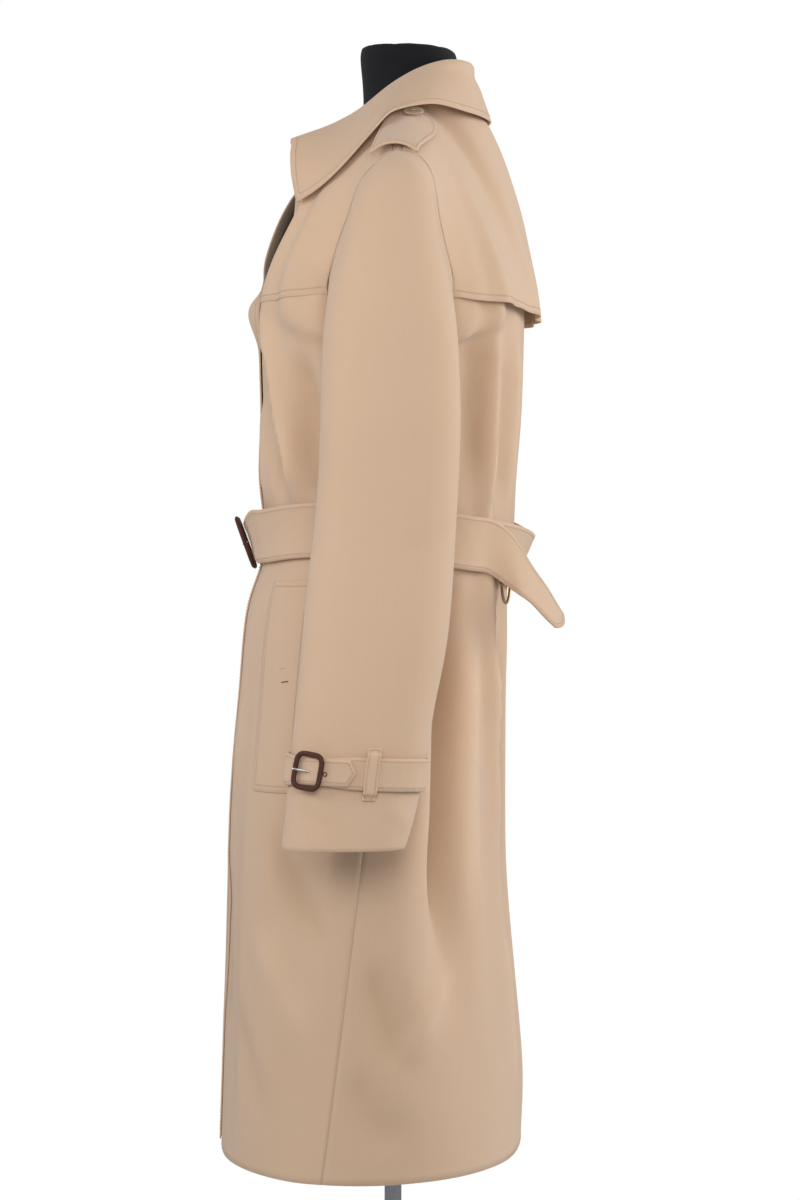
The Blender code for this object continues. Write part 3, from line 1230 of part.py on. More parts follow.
def build_d_ring():
    """Ring of round wire whose straight bar hangs in a cloth tab on the belt's lower edge."""
    turn = D_RING_TURN
    low, middle_belt = belt_column(turn, 0.0)[:2]
    out = out_of_trunk(turn, low[2])
    out = unit(out * np.array([1.0, 1.0, 0.0]))
    bar = low - out * BELT_WALL / 2 - np.array([0.0, 0.0, D_RING_BELOW_BELT])
    across = unit(np.cross((0.0, 0.0, 1.0), out))
    axes = np.array([across, np.array([0.0, 0.0, 1.0]), out])
    outline, ways = d_outline(D_RING_WIDTH, D_RING_DROP, 0.003)
    wire = 2 * D_RING_WIRE
    ring = looped_bar("d_ring", outline, ways, wire, wire, (np.zeros(3), axes), "brass", sides=8)
    ring.location = tuple(bar)
    outer = D_TAB_INSIDE / 2 + D_TAB_WALL
    lean = (middle_belt - low)[:2] @ out[:2] / (middle_belt - low)[2]
    path = [(-outer + lean * D_TAB_RISE, D_TAB_RISE)]
    path += [(outer * math.cos(a), outer * math.sin(a)) for a in (math.pi * (1 + k / 8) for k in range(9))]
    path += [(outer + lean * D_TAB_RISE, D_TAB_RISE)]
    grid = np.array([
        [bar + axes[0] * side * D_TAB_WIDTH + axes[2] * o + axes[1] * u for o, u in path]
        for side in (-0.5, 0.5)
    ]).transpose(1, 0, 2)
    cloth("d_ring_tab", grid[::-1], wall=D_TAB_WALL)
    return bar, across


def form_ring(z):
    half_width, front, back, squareness = (
        smooth_read(FORM, "z", name, z) for name in ("half_width", "front", "back", "squareness")
    )
    power = 2 / squareness
    points = []
    for k in range(FORM_COLUMNS):
        a = 2 * math.pi * k / FORM_COLUMNS
        c, s = math.cos(a), math.sin(a)
        points.append((
            half_width * math.copysign(abs(c) ** power, c),
            (front + back) / 2 + (back - front) / 2 * math.copysign(abs(s) ** power, s), z,
        ))
    return points


def build_form():
    """Torso, pole, and a round base with a hub."""
    heights = sorted(row.z for row in FORM)
    rings = [form_ring(z) for z in heights]
    rounded = [
        [
            (x * size, (y - middle) * size + middle, z - drop - NECK_TILT * (y - FORM[0].front))
            for x, y, z in rings[-1]
        ]
        for size, middle, drop in ((1.0, 0.016, 0.010), (0.975, 0.000, 0.003), (0.92, -0.008, 0.0))
    ]
    stack = rings[:-1] + rounded
    points = [p for ring in stack for p in ring]
    add_object("form_torso", points, lathe_faces(len(stack), FORM_COLUMNS), "form_cloth")
    pole_low, pole_high = HUB_TOP_Z + SEAM_GAP, heights[0] - SEAM_GAP
    turned("form_pole", ((POLE_RADIUS, pole_low), (POLE_RADIUS, pole_high)), 16, "pole_chrome")
    base = (
        (BASE_RADIUS - 0.003, 0.0), (BASE_RADIUS, 0.004), (BASE_RADIUS, BASE_THICK - 0.004),
        (BASE_RADIUS - 0.004, BASE_THICK), (HUB_RADIUS + 0.006, BASE_THICK + 0.003),
        (HUB_RADIUS, BASE_THICK + 0.010), (HUB_RADIUS, HUB_TOP_Z - 0.004), (HUB_RADIUS - 0.004, HUB_TOP_Z),
    )
    turned("form_base", base, 32, "base_black")


def main():
    clear_scene()
    under = build_trunk()
    under += build_sleeves()
    under += build_shoulder_straps(under)
    build_collar(under)
    build_cuffs()
    build_belt()
    bar, across = build_d_ring()
    print("d_ring hinge:", [round(float(v), 5) for v in bar], [round(float(v), 5) for v in across])
    build_form()


main()
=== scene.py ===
"""Dresses the trench coat on its dress form: cloth, leather, metal, sewing and the studio.

Round the trunk a turn is a quarter: 0 is centre front, 1 the left side seam, 2 centre back, and 3 or -1 the right
side seam. Round a sleeve 0 degrees is inside, 90 front, 180 outside and 270 behind. Lengths are metres.
"""

import math
from collections import namedtuple

import bmesh
import bpy
import numpy as np
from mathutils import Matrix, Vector
from mathutils.bvhtree import BVHTree


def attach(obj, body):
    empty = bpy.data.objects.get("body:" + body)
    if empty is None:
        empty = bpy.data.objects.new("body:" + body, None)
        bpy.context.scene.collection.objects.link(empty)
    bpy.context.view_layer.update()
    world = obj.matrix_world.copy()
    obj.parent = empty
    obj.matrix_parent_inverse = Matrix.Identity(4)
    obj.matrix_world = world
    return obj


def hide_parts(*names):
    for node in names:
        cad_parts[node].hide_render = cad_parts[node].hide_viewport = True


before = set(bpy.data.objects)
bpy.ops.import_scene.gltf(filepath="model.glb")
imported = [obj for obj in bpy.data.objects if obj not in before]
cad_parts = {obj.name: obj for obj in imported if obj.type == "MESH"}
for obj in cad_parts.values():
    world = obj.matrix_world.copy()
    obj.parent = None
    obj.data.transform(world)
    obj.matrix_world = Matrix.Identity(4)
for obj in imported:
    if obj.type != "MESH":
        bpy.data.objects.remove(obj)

bl_info = {
    "name": "Trench coat dressing",
    "version": (1, 0, 0),
    "blender": (4, 5, 0),
    "location": "3D View > Sidebar > Coat",
    "description": "Cloth, leather, metal and sewing of a trench coat on a dress form",
    "category": "Object",
}

SIDES = ("left", "right")
EYE = (3.2, 0.007, 0.945)  # the camera's place
CM, MM = 0.01, 0.001
SAME = 2e-5  # points of a solid that are closer than this are one
SLACK = 3e-5  # by which an edge across a wall may differ from the wall's thickness
BORDER = 1.0  # an edge distance that stands for no edge

WALL = 0.0016  # thickness of the solids' cloth
THIN = 0.0011  # of a layer that lies flat on another
FLAP_WALL, FLAP_LIFT = 0.0007, 0.0009  # the storm flap's thickness, and its outer face's height over the front
CAPE_LIFT = WALL + 0.0004  # of the cape's outer face over the back
COLLAR_LIFT = WALL + 0.0014  # of the collar's outer face over what lies under it, at the least
COLLAR_ROWS = 4.3  # rows of the solid collar, from its hem up, that are lifted clear
TURN = 0.29  # one turn of the trunk, in metres of cloth
DEGREE = 0.30 / 360  # one degree round a sleeve, in metres of cloth
FOLD = 0.008  # height of a crease whose fold attribute is 1

LAP_TOP, LAP_FADE = 1.10, 0.06  # the right front's overlap lies close on the left front below this height
LAP_TURN = -0.11  # and past this turn
SHIELD_LOW = 1.215  # cape and storm flap are caught in the armhole's seam above this height
SLEEVE_HEAD = 1.245  # a sleeve is sewn to cape and storm flap above this height
SLEEVE_FOOT = (1.195, 1.233)  # and to fronts and back between these
BARE_HEAD = 1.200  # the right sleeve is sewn to its front above this height, as there is no storm flap
GATHERS, GATHER_HEIGHT, GATHER_DEPTH = 23, 0.0007, 0.020  # of the form's cloth on its neck's edge

made = {}  # node: Face of each finished cloth piece
folds = {}  # node: height of its creases, point by point
Face = namedtuple("Face", "grid normals tree")

# ---------------------------------------------------------------- cloth pieces
# first: way in which the corner where row 0 begins lies lowest; step: between points; thin: the wall shown;
# seams: edges that are caught in a seam; sewn: edges and distance of a row of stitches; held: how it hangs or
# lies; rests_on: what it lies on; extra: the seam allowance round its sheet. Edges are low, high, first and last.
Piece = namedtuple(
    "Piece", "node first wall step thin seams sewn held rests_on extra",
    defaults=(WALL, 0.0045, None, (), (), "hung", (), 0.010),
)
ALL = ("low", "high", "first", "last")
SET_IN = ("first", "last", "high")  # every edge but the lower one is in a seam


def all_round(distance):
    """Rows of stitches at a distance from every edge."""
    return tuple((edge, distance) for edge in ALL)


def both(node, first, *rest, rests_on, **more):
    """Rows of the left one of a piece and of the right one, its mirror image; * stands for the side."""
    for side, way in zip(SIDES, (1, -1)):
        names = tuple(name.replace("*", side) for name in rests_on)
        yield Piece(node.replace("*", side), (first[0], way * first[1], first[2]), *rest, rests_on=names, **more)


PIECES = {
    row.node: row for row in [
        Piece("front_left", (0, 1, 1), seams=("last", "high"), sewn=(("first", 0.007),), rests_on=("form_torso",)),
        Piece("front_right", (0, -1, 1), seams=("first", "high"), sewn=(("last", 0.007),), rests_on=("form_torso",)),
        Piece("back", (-1, 0, 1), seams=SET_IN, rests_on=("form_torso",)),
        Piece("back_cape", (-1, 0, 1), seams=SET_IN, sewn=(("low", 0.006),), rests_on=("back",)),
        Piece("storm_flap", (0, 1, 1), thin=FLAP_WALL, seams=("last", "high"), sewn=(("low", 0.006), ("first", 0.006)),
              held="laid", rests_on=("front_left",)),
        *both("pocket_welt_*", (0, 1, 1), thin=THIN, sewn=all_round(0.0055), held="laid", rests_on=("front_*",)),
        *both("top_sleeve_*", (0, 1, 1), seams=SET_IN, rests_on=("front_*", "back")),
        *both("under_sleeve_*", (0, -1, 1), seams=SET_IN, rests_on=("front_*", "back")),
        Piece("collar", (-1, 0, 1), step=0.004, seams=("high",),
              sewn=(("low", 0.006), ("first", 0.006), ("last", 0.006)), held="folded", rests_on=("collar_stand",)),
        Piece("collar_stand", (-1, 0, 1), step=0.006, seams=("low", "high"), rests_on=("back",), extra=0.001),
        Piece("epaulette_left", (0, 1, 1), 0.0022, 0.003, sewn=all_round(0.003), held="laid",
              rests_on=("storm_flap", "back_cape"), extra=0.004),
        Piece("epaulette_right", (0, -1, 1), 0.0022, 0.003, sewn=all_round(0.003), held="laid",
              rests_on=("front_right", "back_cape"), extra=0.004),
        *both("cuff_strap_*", (0, 1, 1), 0.0018, 0.004, sewn=all_round(0.0028), held="laid",
              rests_on=("top_sleeve_*",), extra=0.003),
        *[Piece("cuff_keeper_" + side, (0, 1, 1), WALL, 0.0025, sewn=all_round(0.0016), held="laid",
                rests_on=("top_sleeve_" + side,), extra=0.0012) for side in SIDES],
        Piece("belt", (-5, 0, 1), 0.0024, 0.005, sewn=all_round(0.0035), held="gathered",
              rests_on=("front_left", "front_right", "back"), extra=0.004),
        Piece("belt_tail", (0, -1, 1), 0.0024, 0.004, sewn=all_round(0.0035), rests_on=("belt",), extra=0.004),
        *both("belt_loop_*", (0, 0, 1), WALL, 0.0025, sewn=all_round(0.0018), held="laid", rests_on=("back",),
              extra=0.0012),
        Piece("d_ring_tab", (0, 0, 1), 0.0012, 0.0015, held="folded", rests_on=("belt",), extra=0.0012),
    ]
}
# Pieces whose inner face is painted dark as shade inside the coat, and near black deeper in, a lining coloured as
# shade
LINED_IN_SHADE = {"back"} | {half + side for half in ("front_", "top_sleeve_", "under_sleeve_") for side in SIDES}

# Creases of each piece: points along the fold, its half width and height in millimetres, and 1 for a crisp ridge,
# 0 for a soft one. A point is how far round it lies, in hundredths of a turn on the trunk and degrees on a
# sleeve, and its height above the floor in centimetres.
CREASES = {
    "front_left": [
        ([(32, 123), (39, 121), (44, 118), (50, 111), (56, 108), (57, 104)], 22, 8.5, 1.0),
        ([(35, 119), (40, 115), (45, 110.5), (49, 107.5), (50, 104)], 29, -8.5, 0.2),
        ([(59, 119), (63, 115), (66, 110), (71, 106)], 29, -7.8, 0.3),
        ([(20, 115), (24, 109), (26, 103)], 26, 4.7, 0.4),
        ([(30, 96.5), (27, 86), (25, 74)], 39, 4.7, 0.0),
        ([(62, 74), (70, 70), (80, 66), (95, 61)], 28, -6.7, 0.8),
        ([(55, 64), (72, 59), (90, 52)], 34, 5, 0.5),
        ([(40, 56), (58, 50), (75, 45)], 30, -4.5, 0.5),
        ([(12, 70), (16, 60), (22, 52)], 46, -5.4, 0.0),
    ],
    "back": [
        ([(140, 123), (144, 106), (150, 94), (154, 89), (160, 80), (168, 70)], 19, 8.5, 1.0),
        ([(132, 122), (134, 113), (138, 104)], 29, -9.3, 0.2),
        ([(154, 121), (157, 111), (159, 102)], 29, -6.2, 0.2),
        ([(164, 121.5), (168, 111), (170, 102)], 21, 5.4, 0.8),
        ([(127, 95), (127, 85), (130, 73), (135, 60)], 26, -15.5, 0.8),
        ([(136, 94.5), (138, 84), (141, 72), (143, 60)], 39, 10.9, 0.2),
        ([(117, 93), (117, 80), (119, 68)], 34, 6.2, 0.0),
        ([(103, 62), (108, 58), (117, 52), (126, 50)], 34, -7.8, 0.7),
        ([(110, 50), (118, 52), (127, 56), (138, 61)], 22, 5.6, 1.0),
        ([(102, 52), (110, 47), (120, 43)], 30, -5, 0.5),
        ([(172, 64), (176, 54), (178, 44)], 39, 6.2, 0.2),
        ([(186, 95), (188, 82), (189, 66)], 29, -7.8, 0.3),
        ([(212, 95), (210, 80), (209, 64)], 31, 3, 0.6),
        ([(208, 120), (210, 110), (211, 103)], 23, 1.5, 0.8),
        ([(233, 121), (231, 111), (228, 103)], 29, -8.5, 0.2),
        ([(247, 122), (246, 112), (242, 103)], 21, 7, 0.9),
        ([(266, 121.5), (264, 112), (260, 104)], 29, -8.5, 0.3),
        ([(236, 95), (232, 83), (227, 70)], 23, 7.8, 0.9),
        ([(250, 94.5), (248, 84), (244, 72), (242, 62)], 29, -12.4, 0.7),
        ([(264, 94), (263, 82), (260, 69)], 39, 9.3, 0.2),
        ([(280, 93), (279, 80), (276, 66)], 31, -7, 0.1),
        ([(272, 56), (284, 53), (295, 59)], 31, -6.7, 0.7),
    ],
    "front_right": [
        ([(-30, 123.5), (-38, 120), (-44, 115), (-49, 109), (-52, 104)], 22, 7.8, 0.9),
        ([(-36, 116), (-42, 110), (-45, 104)], 29, -7.8, 0.2),
        ([(-60, 118), (-66, 112), (-70, 106)], 29, -7.8, 0.3),
        ([(-26, 95), (-24, 84), (-23, 72)], 36, 5.4, 0.2),
        ([(-58, 72), (-70, 66), (-86, 62)], 29, -6.7, 0.8),
        ([(-50, 60), (-68, 56), (-84, 49)], 34, 5, 0.5),
        ([(-16, 65), (-20, 56), (-28, 49)], 46, -6.2, 0.0),
    ],
    "top_sleeve_left": [
        ([(120, 125), (112, 114), (108, 100)], 30, -1.4, 0.0),
        ([(205, 129), (215, 118), (222, 104)], 35, -1.6, 0.0),
        ([(250, 102), (215, 100), (190, 98.5)], 14, -1.4, 0.2),
        ([(120, 75.5), (150, 74.8), (172, 73.5)], 12, -1.2, 0.0),
        ([(200, 76), (225, 75.2), (250, 73.8)], 12, 1.1, 0.0),
    ],
    "top_sleeve_right": [
        ([(118, 124), (112, 112), (110, 100)], 30, -1.8, 0.0),
        ([(210, 128), (218, 116), (226, 105)], 35, -2, 0.0),
        ([(255, 104), (222, 101), (196, 99.5)], 14, -2, 0.3),
        ([(80, 101), (110, 99), (130, 98)], 14, -1.8, 0.3),
    ],
    "under_sleeve_left": [
        ([(65, 103.5), (30, 101), (0, 100)], 12, -3, 0.4),
        ([(60, 98.5), (28, 96.5), (5, 96)], 12, 2.6, 0.4),
    ],
    "under_sleeve_right": [
        ([(65, 104), (32, 101.5), (2, 100.8)], 12, -3, 0.4),
        ([(60, 99), (30, 97.2), (4, 97)], 12, 2.6, 0.4),
    ],
}


# ---------------------------------------------------------------- grids of points

def eased(share):
    """A share of 0 to 1 that starts and ends slowly."""
    return share * share * (3 - 2 * share)


def spans(points, axis=0):
    """Distances between neighbours along an axis of a line or grid of points."""
    return np.linalg.norm(np.diff(points, axis=axis), axis=-1)


def run_along(line):
    """Distance of each point of a line from its first one, along the line."""
    return np.concatenate([[0], np.cumsum(spans(line))])


def outer_grid(node, wall, first):
    """Points of a walled node's outer face in rows and columns."""
    bm = bmesh.new()
    bm.from_mesh(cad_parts[node].data)
    bmesh.ops.remove_doubles(bm, verts=bm.verts, dist=SAME)
    bm.verts.index_update()
    points = np.array([v.co for v in bm.verts], float)
    third = {}
    for face in bm.faces:
        if any(abs(edge.calc_length() - wall) < SLACK for edge in face.edges):
            continue
        a, b, c = (v.index for v in face.verts)
        third[a, b], third[b, c], third[c, a] = c, a, b
    bm.free()
    sides = []
    left = set(third)
    while left:
        todo, side = [next(iter(left))], set()
        while todo:
            a, b = todo.pop()
            if (a, b) not in third or (a, b) in side:
                continue
            c = third[a, b]
            side |= {(a, b), (b, c), (c, a)}
            todo += [(b, a), (c, b), (a, c)]
        left -= side
        sides.append(side)

    def area(side):
        ends = np.array([(a, b, third[a, b]) for a, b in side])
        a, b, c = (points[ends[:, k]] for k in range(3))
        return np.linalg.norm(np.cross(b - a, c - a), axis=1).sum()

    side = max(sides, key=area)
    onward = {a: b for a, b in side if (b, a) not in side}
    corners = {a: 0 for a in onward}
    for a, _ in side:
        if a in corners:
            corners[a] += 1
    key = points @ np.array(first, float)
    start = min((a for a, count in corners.items() if count == 2), key=lambda a: key[a])
    row = [start]
    while len(row) == 1 or corners[row[-1]] != 1:
        row.append(onward[row[-1]])
    rows = [row]
    while (row[0], row[1]) in side:
        ahead = [third[a, b] for a, b in zip(row, row[1:])]
        row = [third[row[0], ahead[0]]] + ahead
        rows.append(row)
    return points[np.array(rows)]


def spline_weights(keys, places):
    """Weights that read a natural cubic spline through values at the keys, at other places."""
    count = len(keys)
    gaps = np.diff(keys)
    left, right = np.eye(count), np.zeros((count, count))
    for i in range(1, count - 1):
        left[i, i - 1:i + 2] = gaps[i - 1], 2 * (gaps[i - 1] + gaps[i]), gaps[i]
        right[i, i - 1:i + 2] = 6 / gaps[i - 1], -6 / gaps[i - 1] - 6 / gaps[i], 6 / gaps[i]
    bend = np.linalg.solve(left, right)
    i = np.clip(np.searchsorted(keys, places, side="right") - 1, 0, count - 2)
    t = ((places - keys[i]) / gaps[i])[:, None]
    square = gaps[i][:, None] ** 2 / 6
    unit = np.eye(count)
    return (
        (1 - t) * unit[i] + t * unit[i + 1]
        + ((1 - t) ** 3 - (1 - t)) * square * bend[i] + (t ** 3 - t) * square * bend[i + 1]
    )


def finer(grid, step, straight=False):
    """The grid with more points, on smooth curves through its own, and each new row's and column's place."""
    places = []
    for axis in (0, 1):
        lengths = spans(grid, axis).mean(axis=1 - axis)
        keys = np.concatenate([[0], np.cumsum(lengths)])
        parts = max(int(math.ceil(lengths.mean() / step)), 1)
        cells = np.arange((grid.shape[axis] - 1) * parts + 1) / parts
        at = np.interp(cells, np.arange(len(keys)), keys)
        if straight:
            weights = np.array([np.interp(at, keys, line) for line in np.eye(len(keys))]).T
        else:
            weights = spline_weights(keys, at)
        places.append(cells)
        grid = np.moveaxis(np.tensordot(weights, grid, axes=(1, axis)), 0, axis)
    return grid, places


def normals_of(grid):
    normals = np.cross(np.gradient(grid, axis=1), np.gradient(grid, axis=0))
    return normals / (np.linalg.norm(normals, axis=2, keepdims=True) + 1e-12)


def grid_faces(rows, columns, start=0):
    """Quads over a grid of points numbered row by row from start."""
    r, c = np.meshgrid(np.arange(rows - 1), np.arange(columns - 1), indexing="ij")
    a = start + r * columns + c
    return np.stack([a, a + 1, a + 1 + columns, a + columns], axis=2).reshape(-1, 4)


def tree_of(grid):
    return BVHTree.FromPolygons([tuple(p) for p in grid.reshape(-1, 3)], grid_faces(*grid.shape[:2]).tolist())


def over(grid, names, pick):
    """The grid moved off the pieces under it to the height over them that pick makes of its own height."""
    moved = grid.reshape(-1, 3).copy()
    for name in names:
        tree = made[name].tree
        for i, point in enumerate(moved):
            place, way, _, away = tree.find_nearest(point)
            way = np.array(way)
            ahead = (point - np.array(place)) @ way
            moved[i] = point + way * (pick(ahead, away) - ahead)
    return moved.reshape(grid.shape)


def clear_of(grid, names, least):
    return over(grid, names, lambda ahead, away: max(ahead, least) if away < 0.02 else ahead)


def evened(table, axis, passes):
    """The table with each value drawn to its neighbours' along an axis, several times."""
    table = np.moveaxis(table.copy(), axis, 0)
    for _ in range(passes):
        table[1:-1] = (table[:-2] + 2 * table[1:-1] + table[2:]) / 4
    return np.moveaxis(table, 0, axis)


def laid_on(grid, names, height, reach=0.003):
    """The grid let down on the pieces under it where it is near them."""
    def pick(ahead, away):
        loose = min(max((away - reach) / reach, 0.0), 1.0)
        return height + (ahead - height) * eased(loose)
    return over(grid, names, pick)


def edge_first(grid, edge):
    """A view of the grid whose first index runs inward from the edge and whose second runs along it."""
    return {"low": grid, "high": grid[::-1], "first": grid.swapaxes(0, 1), "last": grid[:, ::-1].swapaxes(0, 1)}[edge]


def depth_from(grid, edge):
    """Distance of each point from the edge, along the cloth."""
    depth = np.zeros(grid.shape[:2])
    edge_first(depth, edge)[1:] = np.cumsum(spans(edge_first(grid, edge)), axis=0)
    return depth


def resampled(table, at):
    """Rows of a table read at places between them."""
    return np.stack([np.interp(at, np.arange(len(table)), column) for column in table.T], axis=1)


def drawn_to(grid, edge, lines, fade, gap, limit=0.007):
    """The grid with an edge drawn to the nearest of the lines, as cloth that is caught in a seam there.

    Points farther inside than fade stay, and so do edge points that are 2 limits or more from every line.
    """
    target = np.concatenate([resampled(line, np.linspace(0, len(line) - 1, 5 * len(line))) for line in lines])
    turned = edge_first(grid, edge)
    depth = edge_first(depth_from(grid, edge), edge)
    rim = turned[0].copy()
    away = target[None] - rim[:, None]
    length = np.linalg.norm(away, axis=2)
    nearest = length.argmin(axis=1)
    away = away[np.arange(len(rim)), nearest]
    length = length[np.arange(len(rim)), nearest][:, None]
    move = away * np.clip((length - gap) / (length + 1e-9), 0, 1) * np.clip((2 * limit - length) / limit, 0, 1)
    for _ in range(4):
        padded = np.concatenate([move[:1], move, move[-1:]])
        move = (padded[:-2] + 2 * move + padded[2:]) / 4
    turned += eased(np.clip(1 - depth / fade, 0, 1))[..., None] * move[None]
    return grid


def creased(node, grid, round_it, scale, seams=()):
    """The grid moved along its normals by the piece's creases, less near its seams.

    round_it is each column's place round the trunk or sleeve, as in CREASES, and scale turns it into metres.
    """
    spots = np.stack([np.broadcast_to(round_it, grid.shape[:2]), grid[..., 2]], axis=2)
    lift = np.zeros(grid.shape[:2])
    for line, width, height, crisp in CREASES[node]:
        line = np.array(line, float) * (1.0, CM)
        steps = np.diff(line, axis=0) * (scale, 1.0)
        lengths = np.linalg.norm(steps, axis=1)
        best, share = np.full(lift.shape, 9.0), np.zeros(lift.shape)
        for k, (a, step, length) in enumerate(zip(line, steps, lengths)):
            away = (spots - a) * (scale, 1.0)
            along = np.clip(away @ step / length ** 2, 0, 1)
            apart = np.linalg.norm(away - along[..., None] * step, axis=2)
            nearer = apart < best
            best = np.where(nearer, apart, best)
            share = np.where(nearer, (lengths[:k].sum() + along * length) / lengths.sum(), share)
        near = np.clip(1 - best / (width * MM), 0, 1)
        soft, sharp = eased(near), near ** 1.6
        ends = eased(np.clip(np.minimum(share, 1 - share) / 0.3, 0, 1))
        lift += height * MM * (0.12 + 0.88 * ends) * (soft + (sharp - soft) * crisp)
    for edge in seams:
        lift *= eased(np.clip(depth_from(grid, edge) / 0.025, 0, 1))
    folds[node] = lift
    return grid + normals_of(grid) * lift[..., None]


# ---------------------------------------------------------------- meshes

def walled_mesh(row, grid, wall, bulge=0.0003):
    """A cloth wall behind the grid, with rounded edges, a UV map in metres and the distances to its edges."""
    rows, columns = grid.shape[:2]
    normals = normals_of(grid)
    inner = grid - normals * wall
    size = rows * columns
    top = (rows - 1) * columns
    right = [r * columns + columns - 1 for r in range(1, rows - 1)]
    back = [r * columns for r in range(rows - 2, 0, -1)]
    loop = np.array(list(range(columns)) + right + list(range(top, size))[::-1] + back)
    flat, deep = grid.reshape(-1, 3), inner.reshape(-1, 3)
    along = flat[np.roll(loop, -1)] - flat[np.roll(loop, 1)]
    out = np.cross(along, normals.reshape(-1, 3)[loop])
    out /= np.linalg.norm(out, axis=1, keepdims=True) + 1e-12
    rim = (flat[loop] + deep[loop]) / 2 + out * bulge
    ahead, m = np.roll(loop, -1), 2 * size + np.arange(len(loop))
    n = np.roll(m, -1)
    points = np.concatenate([flat, deep, rim])
    faces = np.concatenate([
        grid_faces(rows, columns), grid_faces(rows, columns, size)[:, ::-1],
        np.stack([ahead, loop, m, n], axis=1), np.stack([n, m, size + loop, size + ahead], axis=1),
    ])
    origin = np.concatenate([np.arange(size), np.arange(size), loop])
    mesh = bpy.data.meshes.new(row.node)
    mesh.from_pydata(points.tolist(), [], faces.tolist())
    mesh.shade_smooth()
    depth = {edge: depth_from(grid, edge) for edge in ALL}
    nothing = np.full((rows, columns), BORDER)
    free = [depth[edge] for edge in ALL if edge not in row.seams]
    values = {
        "seam": np.minimum.reduce([nothing] + [depth[edge] for edge in row.seams]),
        "rim": np.minimum.reduce([nothing] + free),
        "sewn": np.minimum.reduce([nothing] + [depth[edge] - distance for edge, distance in row.sewn]),
        # fold: the creases' height, which the cloth's material turns into painted shade and painted highlight
        "fold": folds.get(row.node, np.zeros((rows, columns))) / FOLD,
    }
    for key, table in values.items():
        layer = mesh.attributes.new(key, "FLOAT", "POINT")
        layer.data.foreach_set("value", table.reshape(-1)[origin].astype(np.float32))
    # The inner face of these pieces, which the cloth's material paints dark as shade inside the coat
    inside = np.zeros(len(points), np.float32)
    inside[size:2 * size] = row.node in LINED_IN_SHADE
    mesh.attributes.new("inside", "FLOAT", "POINT").data.foreach_set("value", inside)
    where = np.stack([depth["first"].reshape(-1)[origin], depth["low"].reshape(-1)[origin]], axis=1)
    corners = np.zeros(len(mesh.loops), int)
    mesh.loops.foreach_get("vertex_index", corners)
    mesh.uv_layers.new(name="cloth").data.foreach_set("uv", where[corners].astype(np.float32).reshape(-1))
    return mesh


def add_piece(name, mesh, material, body="coat_on_form", nodes=()):
    piece = bpy.data.objects.new(name, mesh)
    bpy.context.scene.collection.objects.link(piece)
    mesh.materials.clear()
    mesh.materials.append(material)
    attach(piece, body)
    if nodes:
        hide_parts(*nodes)
    return piece


def cloth_piece(node, shape=None, straight=False):
    """Replaces a walled CAD node by a finer cloth of the same form, and works out the size of its sheet."""
    row = PIECES[node]
    grid, places = finer(outer_grid(node, row.wall, row.first), row.step, straight)
    if shape is not None:
        grid = shape(grid, places)
    made[node] = Face(grid, normals_of(grid), tree_of(grid))
    piece = add_piece("cloth_" + node, walled_mesh(row, grid, row.thin or row.wall), gabardine(),
                      nodes=[node])
    widths, lengths = spans(grid, 1).sum(axis=1), spans(grid).sum(axis=0)
    a, b, c, d = (grid[i:i + len(grid) - 1, j:j + grid.shape[1] - 1] for i, j in ((0, 0), (0, 1), (1, 1), (1, 0)))
    area = np.linalg.norm(np.cross(c - a, d - b), axis=2).sum() / 2
    width, length = widths.max() + 2 * row.extra, lengths.max() + 2 * row.extra
    area = min(area + row.extra * (widths.mean() + lengths.mean()) * 2, width * length)


def inset_line(face, edge, distance):
    """Points and normals along an edge of a cloth, a distance inside it and as far from both its ends."""
    points, normals = (edge_first(table, edge) for table in (face.grid, face.normals))
    depth = edge_first(depth_from(face.grid, edge), edge)
    line = np.array([
        [np.interp(distance, depth[:, k], table[:, k, axis]) for table in (points, normals) for axis in range(3)]
        for k in range(points.shape[1])
    ])
    run = run_along(line[:, :3])
    at = np.linspace(distance, run[-1] - distance, max(int((run[-1] - 2 * distance) / 0.003), 2))
    line = np.stack([np.interp(at, run, line[:, k]) for k in range(6)], axis=1)
    return line[:, :3], line[:, 3:]


def thread_mesh(name, lines, pitch=0.0032, length=0.0024, thick=0.00030):
    """Stitches along lines of (points, normals), each a small spindle that dips in at its ends."""
    points, faces = [], []
    for line, normals in lines:
        run = run_along(line)
        count = int(run[-1] / pitch)
        if count < 1:
            continue
        gap = run[-1] / count
        table = np.concatenate([line, normals], axis=1)
        for k in range(count):
            at = (k + 0.5) * gap + length * np.array([-0.5, -0.3, 0.3, 0.5])
            spots = np.stack([np.interp(at, run, table[:, j]) for j in range(6)], axis=1)
            up = spots[1, 3:] / (np.linalg.norm(spots[1, 3:]) + 1e-12)
            side = np.cross(up, spots[3, :3] - spots[0, :3])
            side = side / (np.linalg.norm(side) + 1e-12) * thick
            base = len(points)
            points += [spots[0, :3] - up * thick * 0.6]
            for j in (1, 2):
                middle = spots[j, :3] + up * thick * 0.35
                points += [middle + side, middle + up * thick, middle - side, middle - up * thick]
            points += [spots[3, :3] - up * thick * 0.6]
            for j in range(4):
                i = (j + 1) % 4
                faces += [
                    (base, base + 1 + i, base + 1 + j), (base + 1 + j, base + 1 + i, base + 5 + i, base + 5 + j),
                    (base + 5 + j, base + 5 + i, base + 9),
                ]
    mesh = bpy.data.meshes.new(name)
    mesh.from_pydata([tuple(p) for p in points], [], faces)
    mesh.shade_smooth()
    return mesh


def add_stitches(name, lines, material, slot, **sizes):
    add_piece(name, thread_mesh(name, lines, **sizes), material)


# ---------------------------------------------------------------- shader writing

